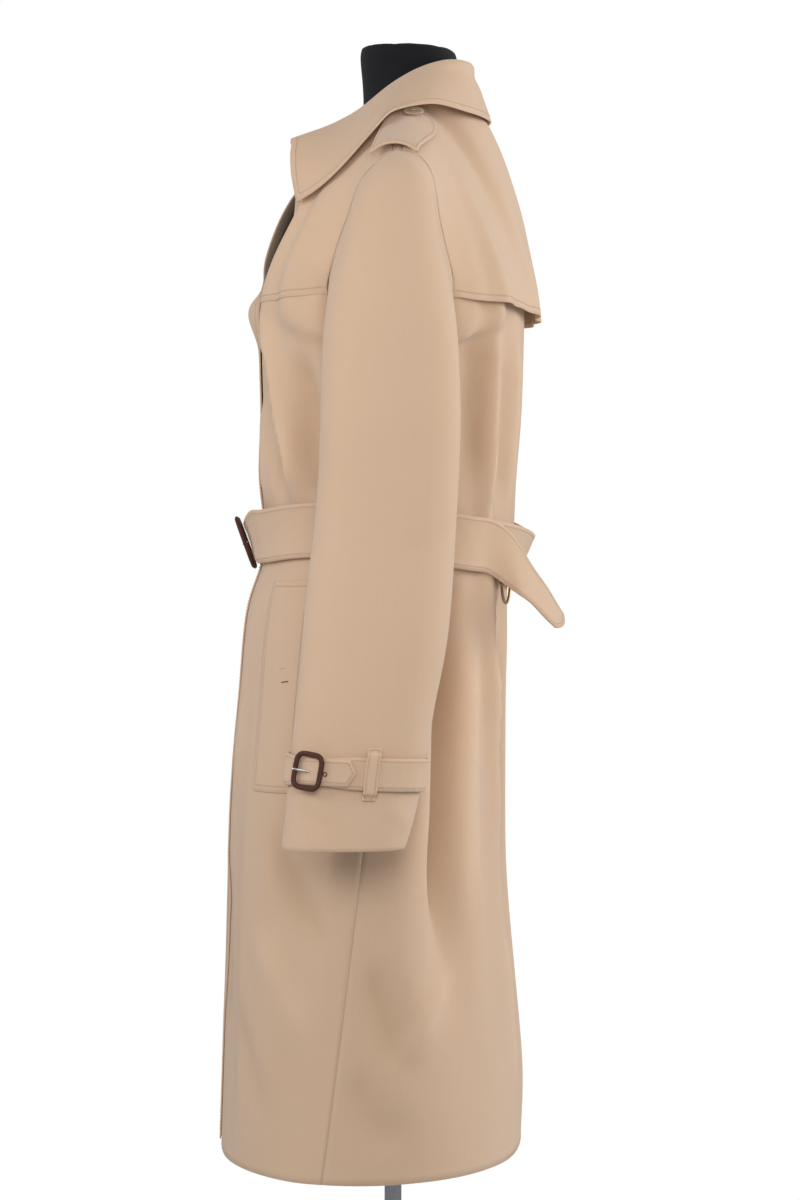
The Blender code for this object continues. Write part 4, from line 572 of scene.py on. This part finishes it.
class Value:
    """A socket in a material; arithmetic on it adds Math nodes."""

    def __init__(self, finish, socket):
        self.finish, self.socket = finish, socket

    def _math(self, operation, *values):
        return self.finish.node("ShaderNodeMath", {"operation": operation}, *values)

    def __add__(self, other):
        return self._math("ADD", self, other)

    def __radd__(self, other):
        return self._math("ADD", other, self)

    def __sub__(self, other):
        return self._math("SUBTRACT", self, other)

    def __rsub__(self, other):
        return self._math("SUBTRACT", other, self)

    def __mul__(self, other):
        return self._math("MULTIPLY", self, other)

    def __truediv__(self, other):
        return self._math("DIVIDE", self, other)

    def sine(self):
        return self._math("SINE", self)

    def under(self, limit, soft):
        """1 well below the limit, 0 above it, with a soft step between."""
        settings = {"interpolation_type": "SMOOTHSTEP"}
        return self.finish.node("ShaderNodeMapRange", settings, self, limit - soft, limit + soft, 1.0, 0.0)

    def line(self, at, half):
        """1 on a line at the given value, fading to 0 at half a width from it."""
        return 1 - self._math("MINIMUM", self._math("ABSOLUTE", self - at) / half, 1.0)


class Finish:
    """A material under construction."""

    def __init__(self, name):
        self.material = bpy.data.materials.new(name)
        self.material.use_nodes = True
        self.tree = self.material.node_tree
        self.shader = self.tree.nodes["Principled BSDF"]

    def node(self, kind, settings=None, *values, output=0, **named):
        added = self.tree.nodes.new(kind)
        for key, value in (settings or {}).items():
            setattr(added, key, value)
        for socket, value in [*zip(added.inputs, values), *((added.inputs[k], v) for k, v in named.items())]:
            self.plug(socket, value)
        return Value(self, added.outputs[output])

    def plug(self, socket, value):
        if isinstance(value, Value):
            self.tree.links.new(value.socket, socket)
        elif value is not None:
            socket.default_value = (*value, 1.0) if hasattr(value, "__len__") and socket.type == "RGBA" else value

    def mix(self, share, first, second):
        node = self.tree.nodes.new("ShaderNodeMix")
        node.data_type = "RGBA"
        for socket, value in ((node.inputs[0], share), (node.inputs[6], first), (node.inputs[7], second)):
            self.plug(socket, value)
        return Value(self, node.outputs[2])

    def noise(self, scale, detail=2.0, rough=0.5, vector=None):
        vector = vector or self.object_place()
        return self.node("ShaderNodeTexNoise", None, Vector=vector, Scale=scale, Detail=detail, Roughness=rough)

    def object_place(self):
        return self.node("ShaderNodeTexCoord", None, output="Object")

    def attribute(self, name):
        return self.node("ShaderNodeAttribute", {"attribute_name": name}, output="Fac")

    def bump(self, height, distance, strength, normal=None):
        return self.node("ShaderNodeBump", None, Strength=strength, Distance=distance, Height=height, Normal=normal)

    def done(self, **sockets):
        for key, value in sockets.items():
            self.plug(self.shader.inputs[key.replace("_", " ")], value)
        return self.material


def settings():
    return bpy.context.scene.coat


def times(colour, share):
    """A colour made lighter or darker, by one factor or by one for each channel."""
    return tuple(np.minimum(np.multiply(colour, share), 1.0).tolist())


def gabardine():
    if "gabardine_cloth" in bpy.data.materials:
        return bpy.data.materials["gabardine_cloth"]
    f = Finish("gabardine_cloth")
    light, dark = tuple(settings().cloth_light), tuple(settings().cloth_dark)
    place = f.node("ShaderNodeUVMap", {"uv_map": "cloth"})
    split = f.node("ShaderNodeSeparateXYZ", None, place)
    u, v = split, Value(f, split.socket.node.outputs["Y"])
    rib = ((u * 0.9 + v * 0.45) * (2 * math.pi / settings().twill_pitch)).sine()
    warp = f.noise(1.0, 2.0, 0.6, f.node("ShaderNodeCombineXYZ", None, u * 420.0, v * 14.0, 0.0))
    yarn = f.noise(900.0, 2.0, 0.6)
    soft, crumple = f.noise(7.0, 3.0, 0.55), f.noise(30.0, 4.0, 0.5)
    seam, rim, sewn, inner = (f.attribute(name) for name in ("seam", "rim", "sewn", "inside"))
    # The inner face, less its rim, for the painted shade below
    inside = inner * (1 - rim.under(0.0012, 0.0012))
    near_seam, near_rim = seam.under(0.006, 0.006), rim.under(0.008, 0.005)
    row = sewn.line(0.0, 0.0011)
    fold = f.attribute("fold")
    pucker = f.noise(150.0, 2.0) * (near_seam * 0.6 + sewn.line(0.0, 0.005))
    tone = f.mix(soft, dark, light)
    # Painted shade in the creases' troughs and painted highlight on their ridges, by the fold attribute
    tone = f.mix(fold * -0.34, tone, times(dark, (0.74, 0.66, 0.52)))
    tone = f.mix(fold * 0.30, tone, times(light, 1.3))
    tone = f.mix(warp * 0.16 + yarn * 0.16, tone, times(dark, 0.78))
    # Painted shade: darker along the rows of stitches and on the seams' lines, as in their grooves
    tone = f.mix(row * 0.12 + seam.line(0.0, 0.0008) * 0.16, tone, times(dark, 0.42))
    # Painted highlight: a thin lighter line along the free edges
    tone = f.mix(rim.line(0.0, 0.0014) * 0.16, tone, times(light, 1.25))
    # Painted shade: the inner face darkened, and near black deeper in, where the lining's colour stands for the shade
    # inside the coat
    shaded_lining_mask = inside * (1 - rim.under(0.010, 0.008))
    tone = f.mix(inside * 0.8, tone, times(dark, 0.30))
    tone = f.mix(shaded_lining_mask, tone, tuple(settings().shaded_lining))
    normal = f.bump(crumple + soft, 0.0020, 0.22)
    normal = f.bump(pucker - row * 0.7 - seam.line(0.0, 0.0016) * 0.35 + near_rim * 0.12, 0.0007, 0.75, normal)
    normal = f.bump(rib + yarn * 1.2, 0.00005, 0.7, normal)
    return f.done(
        Base_Color=tone, Roughness=0.84 + yarn * 0.10 - shaded_lining_mask * 0.35, Normal=normal,
        Sheen_Weight=settings().sheen, Sheen_Roughness=0.45, Sheen_Tint=(1.0, 0.96, 0.92), Specular_IOR_Level=0.25,
    )


def thread(name, colour):
    if name in bpy.data.materials:
        return bpy.data.materials[name]
    f = Finish(name)
    twist = f.noise(2600.0, 1.0)
    tone = f.mix(twist, times(colour, 0.8), colour)
    return f.done(Base_Color=tone, Roughness=0.6 + twist * 0.2, Normal=f.bump(twist, 0.0001, 0.6))


def leather():
    f = Finish("brown_leather")
    grain = f.node("ShaderNodeTexVoronoi", {"feature": "DISTANCE_TO_EDGE"}, f.object_place(), Scale=1500.0)
    wear, age = f.noise(240.0, 3.0), f.noise(60.0, 2.0)
    dark, light = tuple(settings().leather_dark), tuple(settings().leather_light)
    tone = f.mix(wear * 0.6 + age * 0.4, dark, light)
    return f.done(
        Base_Color=tone, Roughness=0.36 + wear * 0.22, Normal=f.bump(grain, 0.0003, 0.55), Coat_Weight=0.10,
        Coat_Roughness=0.3, Specular_IOR_Level=0.22,
    )


def metal(name, colour, roughness):
    f = Finish(name)
    rub, fine = f.noise(420.0, 3.0), f.noise(2400.0, 1.0)
    tone = f.mix(rub, colour, times(colour, 0.7))
    return f.done(
        Base_Color=tone, Roughness=roughness + rub * 0.15, Metallic=1.0, Normal=f.bump(rub + fine, 0.00004, 0.5)
    )


def horn():
    f = Finish("button_horn")
    ring = f.noise(300.0, 4.0, 0.6)
    tone = f.mix(ring, (0.30, 0.20, 0.125), (0.50, 0.37, 0.25))
    return f.done(Base_Color=tone, Roughness=0.30 + ring * 0.2, Normal=f.bump(ring, 0.0001, 0.3), Coat_Weight=0.2)


def form_cloth():
    f = Finish("black_jersey")
    rib, soft = f.noise(1500.0, 2.0), f.noise(40.0, 3.0)
    tone = f.mix(soft * 0.7 + rib * 0.3, (0.0045, 0.0048, 0.0058), (0.0105, 0.0112, 0.0135))
    return f.done(
        Base_Color=tone, Roughness=0.88 + rib * 0.1, Normal=f.bump(rib + soft * 3.0, 0.0004, 0.5), Sheen_Weight=0.04,
        Specular_IOR_Level=0.25,
    )


# ---------------------------------------------------------------- the coat

def trunk_shape(node):
    """Creases of a trunk panel, and the right front's overlap laid on the left front."""
    front = np.linspace(-0.09, 0.9994, 13)
    half_back = np.concatenate([np.linspace(1, 0.36, 9), np.linspace(0.36, 0, 5)[1:]])
    turns = {
        "front_left": front, "front_right": -front[::-1],
        "back": np.concatenate([2 - half_back, (2 + half_back[::-1])[1:]]),
    }[node]

    def shape(grid, places):
        across = np.interp(places[1], np.arange(len(turns)), turns)
        grid = creased(node, grid, across * 100, TURN / 100, PIECES[node].seams)
        if node == "front_right":
            lap = across > LAP_TURN
            pressed = laid_on(grid[:, lap], ("front_left",), WALL + 0.0003, reach=0.020)
            grid[:, lap] += (pressed - grid[:, lap]) * np.clip((LAP_TOP - grid[:, lap, 2:]) / LAP_FADE, 0, 1)
        return grid
    return shape


def edge_line(node, edge, height=0.0, low=0.0, high=9.0):
    """The part of a cloth's edge between two heights above the floor, raised off the cloth."""
    line = edge_first(made[node].grid, edge)[0] + edge_first(made[node].normals, edge)[0] * height
    return line[(line[:, 2] > low) & (line[:, 2] < high)]


def sleeve_shape(node):
    """Creases of a half sleeve, and its head drawn to the armhole's seam."""
    first, step = {"top_sleeve_left": (60, 20), "top_sleeve_right": (300, -20), "under_sleeve_left": (-60, 20),
                   "under_sleeve_right": (60, -20)}[node]
    left = node.endswith("left")
    front, outer, inner = ("front_left", "last", "first") if left else ("front_right", "first", "last")

    def shape(grid, places):
        grid = creased(node, grid, np.abs(first + step * places[1]), DEGREE)
        lines = [
            edge_line("back_cape", inner, low=SLEEVE_HEAD),
            edge_line("storm_flap", "last", low=SLEEVE_HEAD) if left else edge_line(front, outer, low=BARE_HEAD),
            edge_line(front, outer, 0.0, *SLEEVE_FOOT), edge_line("back", inner, 0.0, *SLEEVE_FOOT),
        ]
        return drawn_to(grid, "high", lines, fade=0.022, gap=0.0006)
    return shape


class CoatPart(bpy.types.Operator):
    bl_options = {"REGISTER"}

    def execute(self, context):
        bpy.ops.object.select_all(action="DESELECT")
        self.make()
        return {"FINISHED"}


class COAT_OT_trunk(CoatPart):
    """Fronts and back of the coat"""
    bl_idname = "coat.trunk"
    bl_label = "Fronts and back"

    def make(self):
        for node in ("front_left", "front_right", "back"):
            cloth_piece(node, trunk_shape(node))


class COAT_OT_laid(CoatPart):
    """Back cape, storm flap and pocket welts"""
    bl_idname = "coat.laid"
    bl_label = "Cape, flap and welts"

    def make(self):
        def cape(grid, places):
            for edge in ("first", "last"):
                line = edge_line("back", edge, CAPE_LIFT, SHIELD_LOW)
                grid = drawn_to(grid, edge, [line], fade=0.030, gap=0.0002)
            return clear_of(grid, ("back",), CAPE_LIFT)

        def flap(grid, places):
            grid = laid_on(grid, ("front_left",), FLAP_LIFT, reach=0.004)
            line = edge_line("front_left", "last", FLAP_LIFT, SHIELD_LOW)
            return drawn_to(grid, "last", [line], fade=0.025, gap=0.0002)

        cloth_piece("back_cape", cape)
        cloth_piece("storm_flap", flap)
        for side in SIDES:
            def welt(grid, places):
                return laid_on(grid, ("front_" + side,), THIN + 0.0002, reach=0.004)

            cloth_piece("pocket_welt_" + side, welt)


class COAT_OT_sleeves(CoatPart):
    """Sleeves, their straps and keeper loops"""
    bl_idname = "coat.sleeves"
    bl_label = "Sleeves and cuffs"

    def make(self):
        for side in SIDES:
            for half in ("top_sleeve_", "under_sleeve_"):
                cloth_piece(half + side, sleeve_shape(half + side))

            def strap(grid, places):
                """The strap with straight edges over the last cells of its solid, where its end is pointed."""
                row = PIECES["cuff_strap_" + side]
                pointed = finer(outer_grid(row.node, row.wall, row.first), row.step, True)[0]
                columns = places[1] if side == "left" else places[1][-1] - places[1]
                share = np.clip((columns - (places[1][-1] - 3.2)) / 1.2, 0, 1)[None, :, None]
                return grid + (pointed - grid) * share

            cloth_piece("cuff_strap_" + side, strap)
            cloth_piece("cuff_keeper_" + side, straight=True)


class COAT_OT_collar(CoatPart):
    """Shoulder straps, collar and its stand"""
    bl_idname = "coat.collar"
    bl_label = "Collar and shoulder straps"

    def make(self):
        for side in SIDES:
            cloth_piece("epaulette_" + side)
        under = ("storm_flap", "front_left", "front_right", "back_cape", "epaulette_left", "epaulette_right")

        def fall(grid, places):
            rows = places[0] < COLLAR_ROWS
            moved = np.where(rows[:, None, None], clear_of(grid, under, COLLAR_LIFT) - grid, 0.0)
            for axis, passes in ((1, 24), (0, 3)):
                moved = evened(moved, axis, passes)
            return grid + moved

        cloth_piece("collar", fall)
        cloth_piece("collar_stand")


class COAT_OT_belt(CoatPart):
    """Belt, its free end, its loops and the tab of the ring"""
    bl_idname = "coat.belt"
    bl_label = "Belt"

    def make(self):
        cloth_piece("belt")
        cloth_piece("belt_tail")
        for side in SIDES:
            cloth_piece("belt_loop_" + side, straight=True)
        cloth_piece("d_ring_tab")


# Where the sewing shows from the camera, as (y, z) in the plane x = 0 that it is seen against
BUTTONHOLE = ((-0.115, 0.862), (-0.101, 0.864))  # the ends of its slit
TACK = ((-0.1135, 0.876), (-0.1080, 0.8765))  # the ends of the short tack above it
EYELET = (-0.068, 0.7705)


def looked_at(node, y, z):
    """Point and normal of a cloth where the camera sees the point (0, y, z), and the cloth before it."""
    ahead = Vector((0.0, y, z)) - Vector(EYE)
    place, way, _, _ = made[node].tree.ray_cast(Vector(EYE), ahead.normalized())
    return np.array(place), np.array(way)


def mirrored_on(node, place):
    """Point and normal of a cloth of the right half nearest to the mirror of a point of the left half."""
    place, way, _, _ = made[node].tree.find_nearest(Vector((-place[0], place[1], place[2])))
    return np.array(place), np.array(way)


class COAT_OT_sewing(CoatPart):
    """Rows of stitches, buttonholes and eyelets"""
    bl_idname = "coat.sewing"
    bl_label = "Sewing"

    def make(self):
        beige = thread("beige_thread", tuple(settings().thread))
        dark = thread("slit_shade", (0.030, 0.018, 0.012))
        for node, row in PIECES.items():
            if row.sewn:
                lines = [inset_line(made[node], edge, distance) for edge, distance in row.sewn]
                add_stitches("thread_" + node, lines, beige, "gabardine")
        ends, tack = ([looked_at("pocket_welt_left", y, z) for y, z in pair] for pair in (BUTTONHOLE, TACK))
        self.buttonhole("left", ends, tack, beige, dark)
        self.buttonhole(
            "right", *[[mirrored_on("pocket_welt_right", place) for place, _ in pair] for pair in (ends, tack)],
            beige, dark,
        )
        ring = metal("eyelet_bronze", (0.20, 0.13, 0.08), 0.35)
        place, way = looked_at("cuff_strap_left", *EYELET)
        for side, spot in zip(SIDES, ((place, way), mirrored_on("cuff_strap_right", place))):
            self.eyelet("eyelet_cuff_" + side, *spot, ring)

    def buttonhole(self, side, ends, tack, beige, dark):
        """A dark slit on a welt, stitches across its long sides and round its ends, and the tack above it."""
        face = made["pocket_welt_" + side]
        (a, up), (b, _) = ends
        along = (b - a) / np.linalg.norm(b - a)
        across = np.cross(up, along)
        slit = np.array([tuple(face.tree.find_nearest(tuple(a + (b - a) * t))[0]) for t in np.linspace(0, 1, 9)])
        name = "buttonhole_" + side
        add_stitches(name, [(slit, np.broadcast_to(up, slit.shape))], dark, "gabardine",
                     pitch=0.0125, length=0.0132, thick=0.00050)
        lines = []
        for t in np.linspace(-0.02, 1.02, 27):
            middle = a + (b - a) * t
            for way in (-1, 1):
                pair = np.array([middle + across * way * reach for reach in (0.0004, 0.0021)])
                lines.append((pair, np.array([up, up])))
        for end, way in ((a, -1), (b, 1)):
            for lift in (-0.0008, 0.0, 0.0008):
                pair = np.array([end + along * way * reach + across * lift for reach in (0.0003, 0.0020)])
                lines.append((pair, np.array([up, up])))
        (c, lead), (d, _) = tack
        for lift in (-0.0004, 0.0004):
            lines.append((np.array([c, d]) + across * lift, np.array([lead, lead])))
        add_stitches(name + "_thread", lines, beige, "gabardine", pitch=0.0017, length=0.0018, thick=0.00022)

    def eyelet(self, name, place, way, material):
        turn = Vector(way).to_track_quat("Z", "Y").to_euler()
        bpy.ops.mesh.primitive_torus_add(
            location=place, rotation=turn, major_radius=0.0017, minor_radius=0.0006, major_segments=24,
            minor_segments=10,
        )
        ring = bpy.context.object
        ring.scale = (1.0, 1.0, 0.7)
        bpy.ops.object.transform_apply(location=True, rotation=True, scale=True)
        ring.data.shade_smooth()
        ring.name = name
        ring.data.materials.append(material)
        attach(ring, "coat_on_form")
        ring.select_set(False)


def smooth_copy(node, name, material, body="coat_on_form", crisp=None):
    """A node's own form with more faces: merged, made of quads again and subdivided. crisp is the angle in
    degrees above which an edge stays sharp."""
    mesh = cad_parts[node].data.copy()
    piece = add_piece(name, mesh, material, body, [node])
    mesh.name = name
    bpy.context.view_layer.objects.active = piece
    piece.select_set(True)
    bpy.ops.object.mode_set(mode="EDIT")
    bpy.ops.mesh.select_all(action="SELECT")
    bpy.ops.mesh.remove_doubles(threshold=SAME)
    bpy.ops.mesh.tris_convert_to_quads(face_threshold=math.radians(60), shape_threshold=math.radians(70))
    bpy.ops.object.mode_set(mode="OBJECT")
    if crisp:
        bm = bmesh.new()
        bm.from_mesh(mesh)
        layer = bm.edges.layers.float.get("crease_edge") or bm.edges.layers.float.new("crease_edge")
        for edge in bm.edges:
            if len(edge.link_faces) == 2 and edge.calc_face_angle(0.0) > math.radians(crisp):
                edge[layer] = 0.8
        bm.to_mesh(mesh)
        bm.free()
    modifier = piece.modifiers.new("smooth", "SUBSURF")
    modifier.levels = modifier.render_levels = 2
    bpy.ops.object.modifier_apply(modifier="smooth")
    piece.data.shade_smooth()
    piece.select_set(False)
    return piece


def axes_of(piece):
    """A piece's points, the middle of its box and its axes, the flattest one last."""
    points = np.array([v.co for v in piece.data.vertices], float)
    _, _, axes = np.linalg.svd(points - points.mean(axis=0), full_matrices=False)
    return points, (points.min(axis=0) + points.max(axis=0)) / 2, axes


def ring_lines(piece, share):
    """Lines round a flat ring, on its front and back, at a share of the way from its hole to its outside."""
    points, middle, axes = axes_of(piece)
    tree = BVHTree.FromPolygons([tuple(p) for p in points], [tuple(face.vertices) for face in piece.data.polygons])
    lines = []
    for up in (axes[2], -axes[2]):
        spots = []
        for angle in np.linspace(0, 2 * math.pi, 97):
            way = Vector(math.cos(angle) * axes[0] + math.sin(angle) * axes[1])
            inner, outer = tree.ray_cast(Vector(middle), way)[0], tree.ray_cast(Vector(middle) + way * 0.1, -way)[0]
            if inner is None or outer is None:
                continue
            start = inner.lerp(outer, share) + Vector(up) * 0.02
            hit, normal, _, _ = tree.ray_cast(start, -Vector(up))
            if hit is not None:
                spots.append((*hit, *normal))
        spots = np.array(spots)
        lines.append((spots[:, :3], spots[:, 3:]))
    return lines


class COAT_OT_hardware(CoatPart):
    """Leather-covered buckles, prongs, buttons and the ring"""
    bl_idname = "coat.hardware"
    bl_label = "Buckles, buttons and ring"

    def make(self):
        hide = leather()
        waxed = thread("brown_thread", (0.16, 0.075, 0.045))
        beige = thread("beige_thread", tuple(settings().thread))
        steel = metal("steel", (0.78, 0.76, 0.72), 0.22)
        brass = metal("brass", (0.46, 0.34, 0.18), 0.28)
        for node in ("belt_buckle", "cuff_buckle_left", "cuff_buckle_right"):
            piece = smooth_copy(node, "leather_" + node, hide)
            lines = ring_lines(piece, 0.28) + ring_lines(piece, 0.74)
            add_stitches("thread_" + node, lines, waxed, "leather", pitch=0.0021, length=0.0014, thick=0.00022)
        for node in ("belt_prong", "cuff_prong_left", "cuff_prong_right"):
            smooth_copy(node, "steel_" + node, steel)
        for side in SIDES:
            piece = smooth_copy("epaulette_button_" + side, "button_" + side, horn(), crisp=50)
            _, middle, axes = axes_of(piece)
            up = axes[2] * np.sign(axes[2][2])
            lines = []
            for way in (axes[0] + axes[1], axes[0] - axes[1]):
                for shift in (-0.0003, 0.0003):
                    ends = [middle + up * 0.0012 + axes[0] * shift + way * reach for reach in (-0.0017, 0.0017)]
                    lines.append((np.array(ends), np.array([up, up])))
            add_stitches("thread_button_" + side, lines, beige, "button", pitch=0.0040, length=0.0042, thick=0.00032)
        smooth_copy("d_ring", "brass_d_ring", brass, "d_ring")


def gather_neck(torso):
    """Small waves on the upper edge of the form's neck, where its cloth is gathered."""
    points = np.array([v.co for v in torso.data.vertices], float)
    top = points[:, 2].max()
    middle = points[points[:, 2] > top - GATHER_DEPTH].mean(axis=0)
    x, y = points[:, 0] - middle[0], points[:, 1] - middle[1]
    angle, away = np.arctan2(y, x), np.hypot(x, y)
    share = np.clip(1 - (top - points[:, 2]) / GATHER_DEPTH, 0, 1) * np.clip(away / away.max() * 4 - 1, 0, 1)
    wave = np.sin(GATHERS * angle) + 0.6 * np.sin((GATHERS + 7) * angle + 1.0)
    points[:, 2] += GATHER_HEIGHT * wave * share
    torso.data.vertices.foreach_set("co", points.astype(np.float32).reshape(-1))
    torso.data.update()


class COAT_OT_form(CoatPart):
    """Dress form with its pole and base"""
    bl_idname = "coat.form"
    bl_label = "Dress form"

    def make(self):
        gather_neck(smooth_copy("form_torso", "jersey_torso", form_cloth(), crisp=60))
        chrome, black = metal("pole_chrome", (0.42, 0.42, 0.45), 0.24), metal("base_black", (0.03, 0.03, 0.033), 0.40)
        smooth_copy("form_pole", "chrome_pole", chrome, crisp=60)
        smooth_copy("form_base", "black_base", black, crisp=60)


# Name, place, what it points at, size in metres, power in watts
LIGHTS = [
    ("camera_side", (1.7, 0.0, 1.40), (0.0, 0.0, 1.40), 0.9, 10.2),
    ("front_near", (0.9, -1.5, 1.8), (0.0, 0.0, 1.4), 0.9, 8.5),
    ("front_side", (0.4, -2.6, 1.5), (0.0, 0.0, 1.0), 1.5, 12.0),
    ("back_side", (0.5, 2.0, 1.8), (0.0, 0.0, 1.35), 1.3, 17.0),
    ("back_rim", (-0.8, 2.4, 1.7), (0.0, 0.0, 1.1), 1.4, 25.0),
]


class COAT_OT_stage(CoatPart):
    """Floor, lights and camera"""
    bl_idname = "coat.stage"
    bl_label = "Studio"

    def make(self):
        self.floor()
        self.sky()
        self.lamps()
        self.camera()
        bpy.context.scene.view_settings.view_transform = "Standard"

    def floor(self):
        """A pale disc that fades out towards its edge."""
        bpy.ops.mesh.primitive_circle_add(vertices=128, radius=1.6, fill_type="NGON", location=(0, 0, -0.0005))
        bpy.ops.object.transform_apply(location=True)
        floor = bpy.context.object
        floor.name = "floor"
        f = Finish("pale_floor")
        far = f.node("ShaderNodeVectorMath", {"operation": "LENGTH"}, f.object_place(), output="Value")
        f.done(Base_Color=(0.72, 0.72, 0.72), Roughness=0.7)
        clear = f.node("ShaderNodeBsdfTransparent")
        mixed = f.node("ShaderNodeMixShader", None, far.under(1.2, 0.35), clear, Value(f, f.shader.outputs[0]))
        f.tree.links.new(mixed.socket, f.tree.nodes["Material Output"].inputs["Surface"])
        floor.data.materials.append(f.material)

    def sky(self):
        """White light all round, of its own brightness where the camera sees it."""
        world = bpy.data.worlds.new("studio")
        bpy.context.scene.world = world
        world.use_nodes = True
        tree = world.node_tree
        tree.nodes.clear()
        out, path, mix = (tree.nodes.new("ShaderNode" + kind) for kind in ("OutputWorld", "LightPath", "MixShader"))
        for k, strength in ((1, settings().dome), (2, settings().backdrop)):
            sky = tree.nodes.new("ShaderNodeBackground")
            sky.inputs["Color"].default_value = (1.0, 1.0, 1.0, 1.0)
            sky.inputs["Strength"].default_value = strength
            tree.links.new(sky.outputs[0], mix.inputs[k])
        tree.links.new(path.outputs["Is Camera Ray"], mix.inputs[0])
        tree.links.new(mix.outputs[0], out.inputs["Surface"])

    def lamps(self):
        for name, place, target, size, power in LIGHTS:
            light = bpy.data.lights.new(name, "AREA")
            light.shape, light.size, light.energy = "DISK", size, power
            lamp = bpy.data.objects.new(name, light)
            bpy.context.scene.collection.objects.link(lamp)
            lamp.location = place
            lamp.rotation_euler = (Vector(target) - Vector(place)).to_track_quat("-Z", "Y").to_euler()

    def camera(self):
        """The camera, level and looking along -x."""
        camera = bpy.data.cameras.new("camera")
        camera.lens, camera.sensor_width = 96.0, 36.0
        eye = bpy.data.objects.new("camera", camera)
        bpy.context.scene.collection.objects.link(eye)
        eye.location = EYE
        eye.rotation_euler = (math.pi / 2, 0.0, math.pi / 2)
        bpy.context.scene.camera = eye


class CoatSettings(bpy.types.PropertyGroup):
    """Colours of the cloth and leather and strengths of the studio's light"""
    cloth_light: bpy.props.FloatVectorProperty(
        name="Cloth, light", description="Lighter tone of the gabardine", subtype="COLOR",
        default=(0.68, 0.482, 0.336), min=0.0, max=1.0)
    cloth_dark: bpy.props.FloatVectorProperty(
        name="Cloth, dark", description="Darker tone of the gabardine", subtype="COLOR",
        default=(0.64, 0.447, 0.305), min=0.0, max=1.0)
    # Near black: the shade inside the coat, painted into the lining's colour
    shaded_lining: bpy.props.FloatVectorProperty(
        name="Lining", description="Colour of the lining inside", subtype="COLOR",
        default=(0.020, 0.015, 0.010), min=0.0, max=1.0)
    thread: bpy.props.FloatVectorProperty(
        name="Thread", description="Colour of the sewing thread", subtype="COLOR",
        default=(0.56, 0.41, 0.28), min=0.0, max=1.0)
    leather_dark: bpy.props.FloatVectorProperty(
        name="Leather, dark", description="Darker tone of the buckles' leather", subtype="COLOR",
        default=(0.028, 0.0075, 0.0045), min=0.0, max=1.0)
    leather_light: bpy.props.FloatVectorProperty(
        name="Leather, light", description="Lighter tone of the buckles' leather", subtype="COLOR",
        default=(0.105, 0.030, 0.017), min=0.0, max=1.0)
    twill_pitch: bpy.props.FloatProperty(
        name="Twill pitch", description="Distance between the ribs of the weave", default=0.0007, unit="LENGTH")
    sheen: bpy.props.FloatProperty(
        name="Sheen", description="Pale bloom of the cloth seen edge-on", default=0.30, min=0.0, max=1.0,
        subtype="FACTOR")
    dome: bpy.props.FloatProperty(
        name="Dome", description="Strength of the light all round", default=0.36, min=0.0)
    backdrop: bpy.props.FloatProperty(
        name="Backdrop", description="Brightness of the backdrop", default=1.0, min=0.0)


PARTS = [
    COAT_OT_trunk, COAT_OT_laid, COAT_OT_sleeves, COAT_OT_collar, COAT_OT_belt, COAT_OT_sewing, COAT_OT_hardware,
    COAT_OT_form, COAT_OT_stage,
]


class COAT_PT_panel(bpy.types.Panel):
    """Lists the steps of the coat"""
    bl_idname = "COAT_PT_panel"
    bl_label = "Coat"
    bl_space_type = "VIEW_3D"
    bl_region_type = "UI"
    bl_category = "Coat"

    def draw(self, context):
        for key in CoatSettings.__annotations__:
            self.layout.prop(context.scene.coat, key)
        for part in PARTS:
            self.layout.operator(part.bl_idname)


def register():
    for kind in [CoatSettings, *PARTS, COAT_PT_panel]:
        bpy.utils.register_class(kind)
    bpy.types.Scene.coat = bpy.props.PointerProperty(type=CoatSettings)


def unregister():
    del bpy.types.Scene.coat
    for kind in reversed([CoatSettings, *PARTS, COAT_PT_panel]):
        bpy.utils.unregister_class(kind)


def main():
    register()
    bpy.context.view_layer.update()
    for part in PARTS:
        group, name = part.bl_idname.split(".")
        getattr(getattr(bpy.ops, group), name)()


if __name__ == "__main__":
    main()
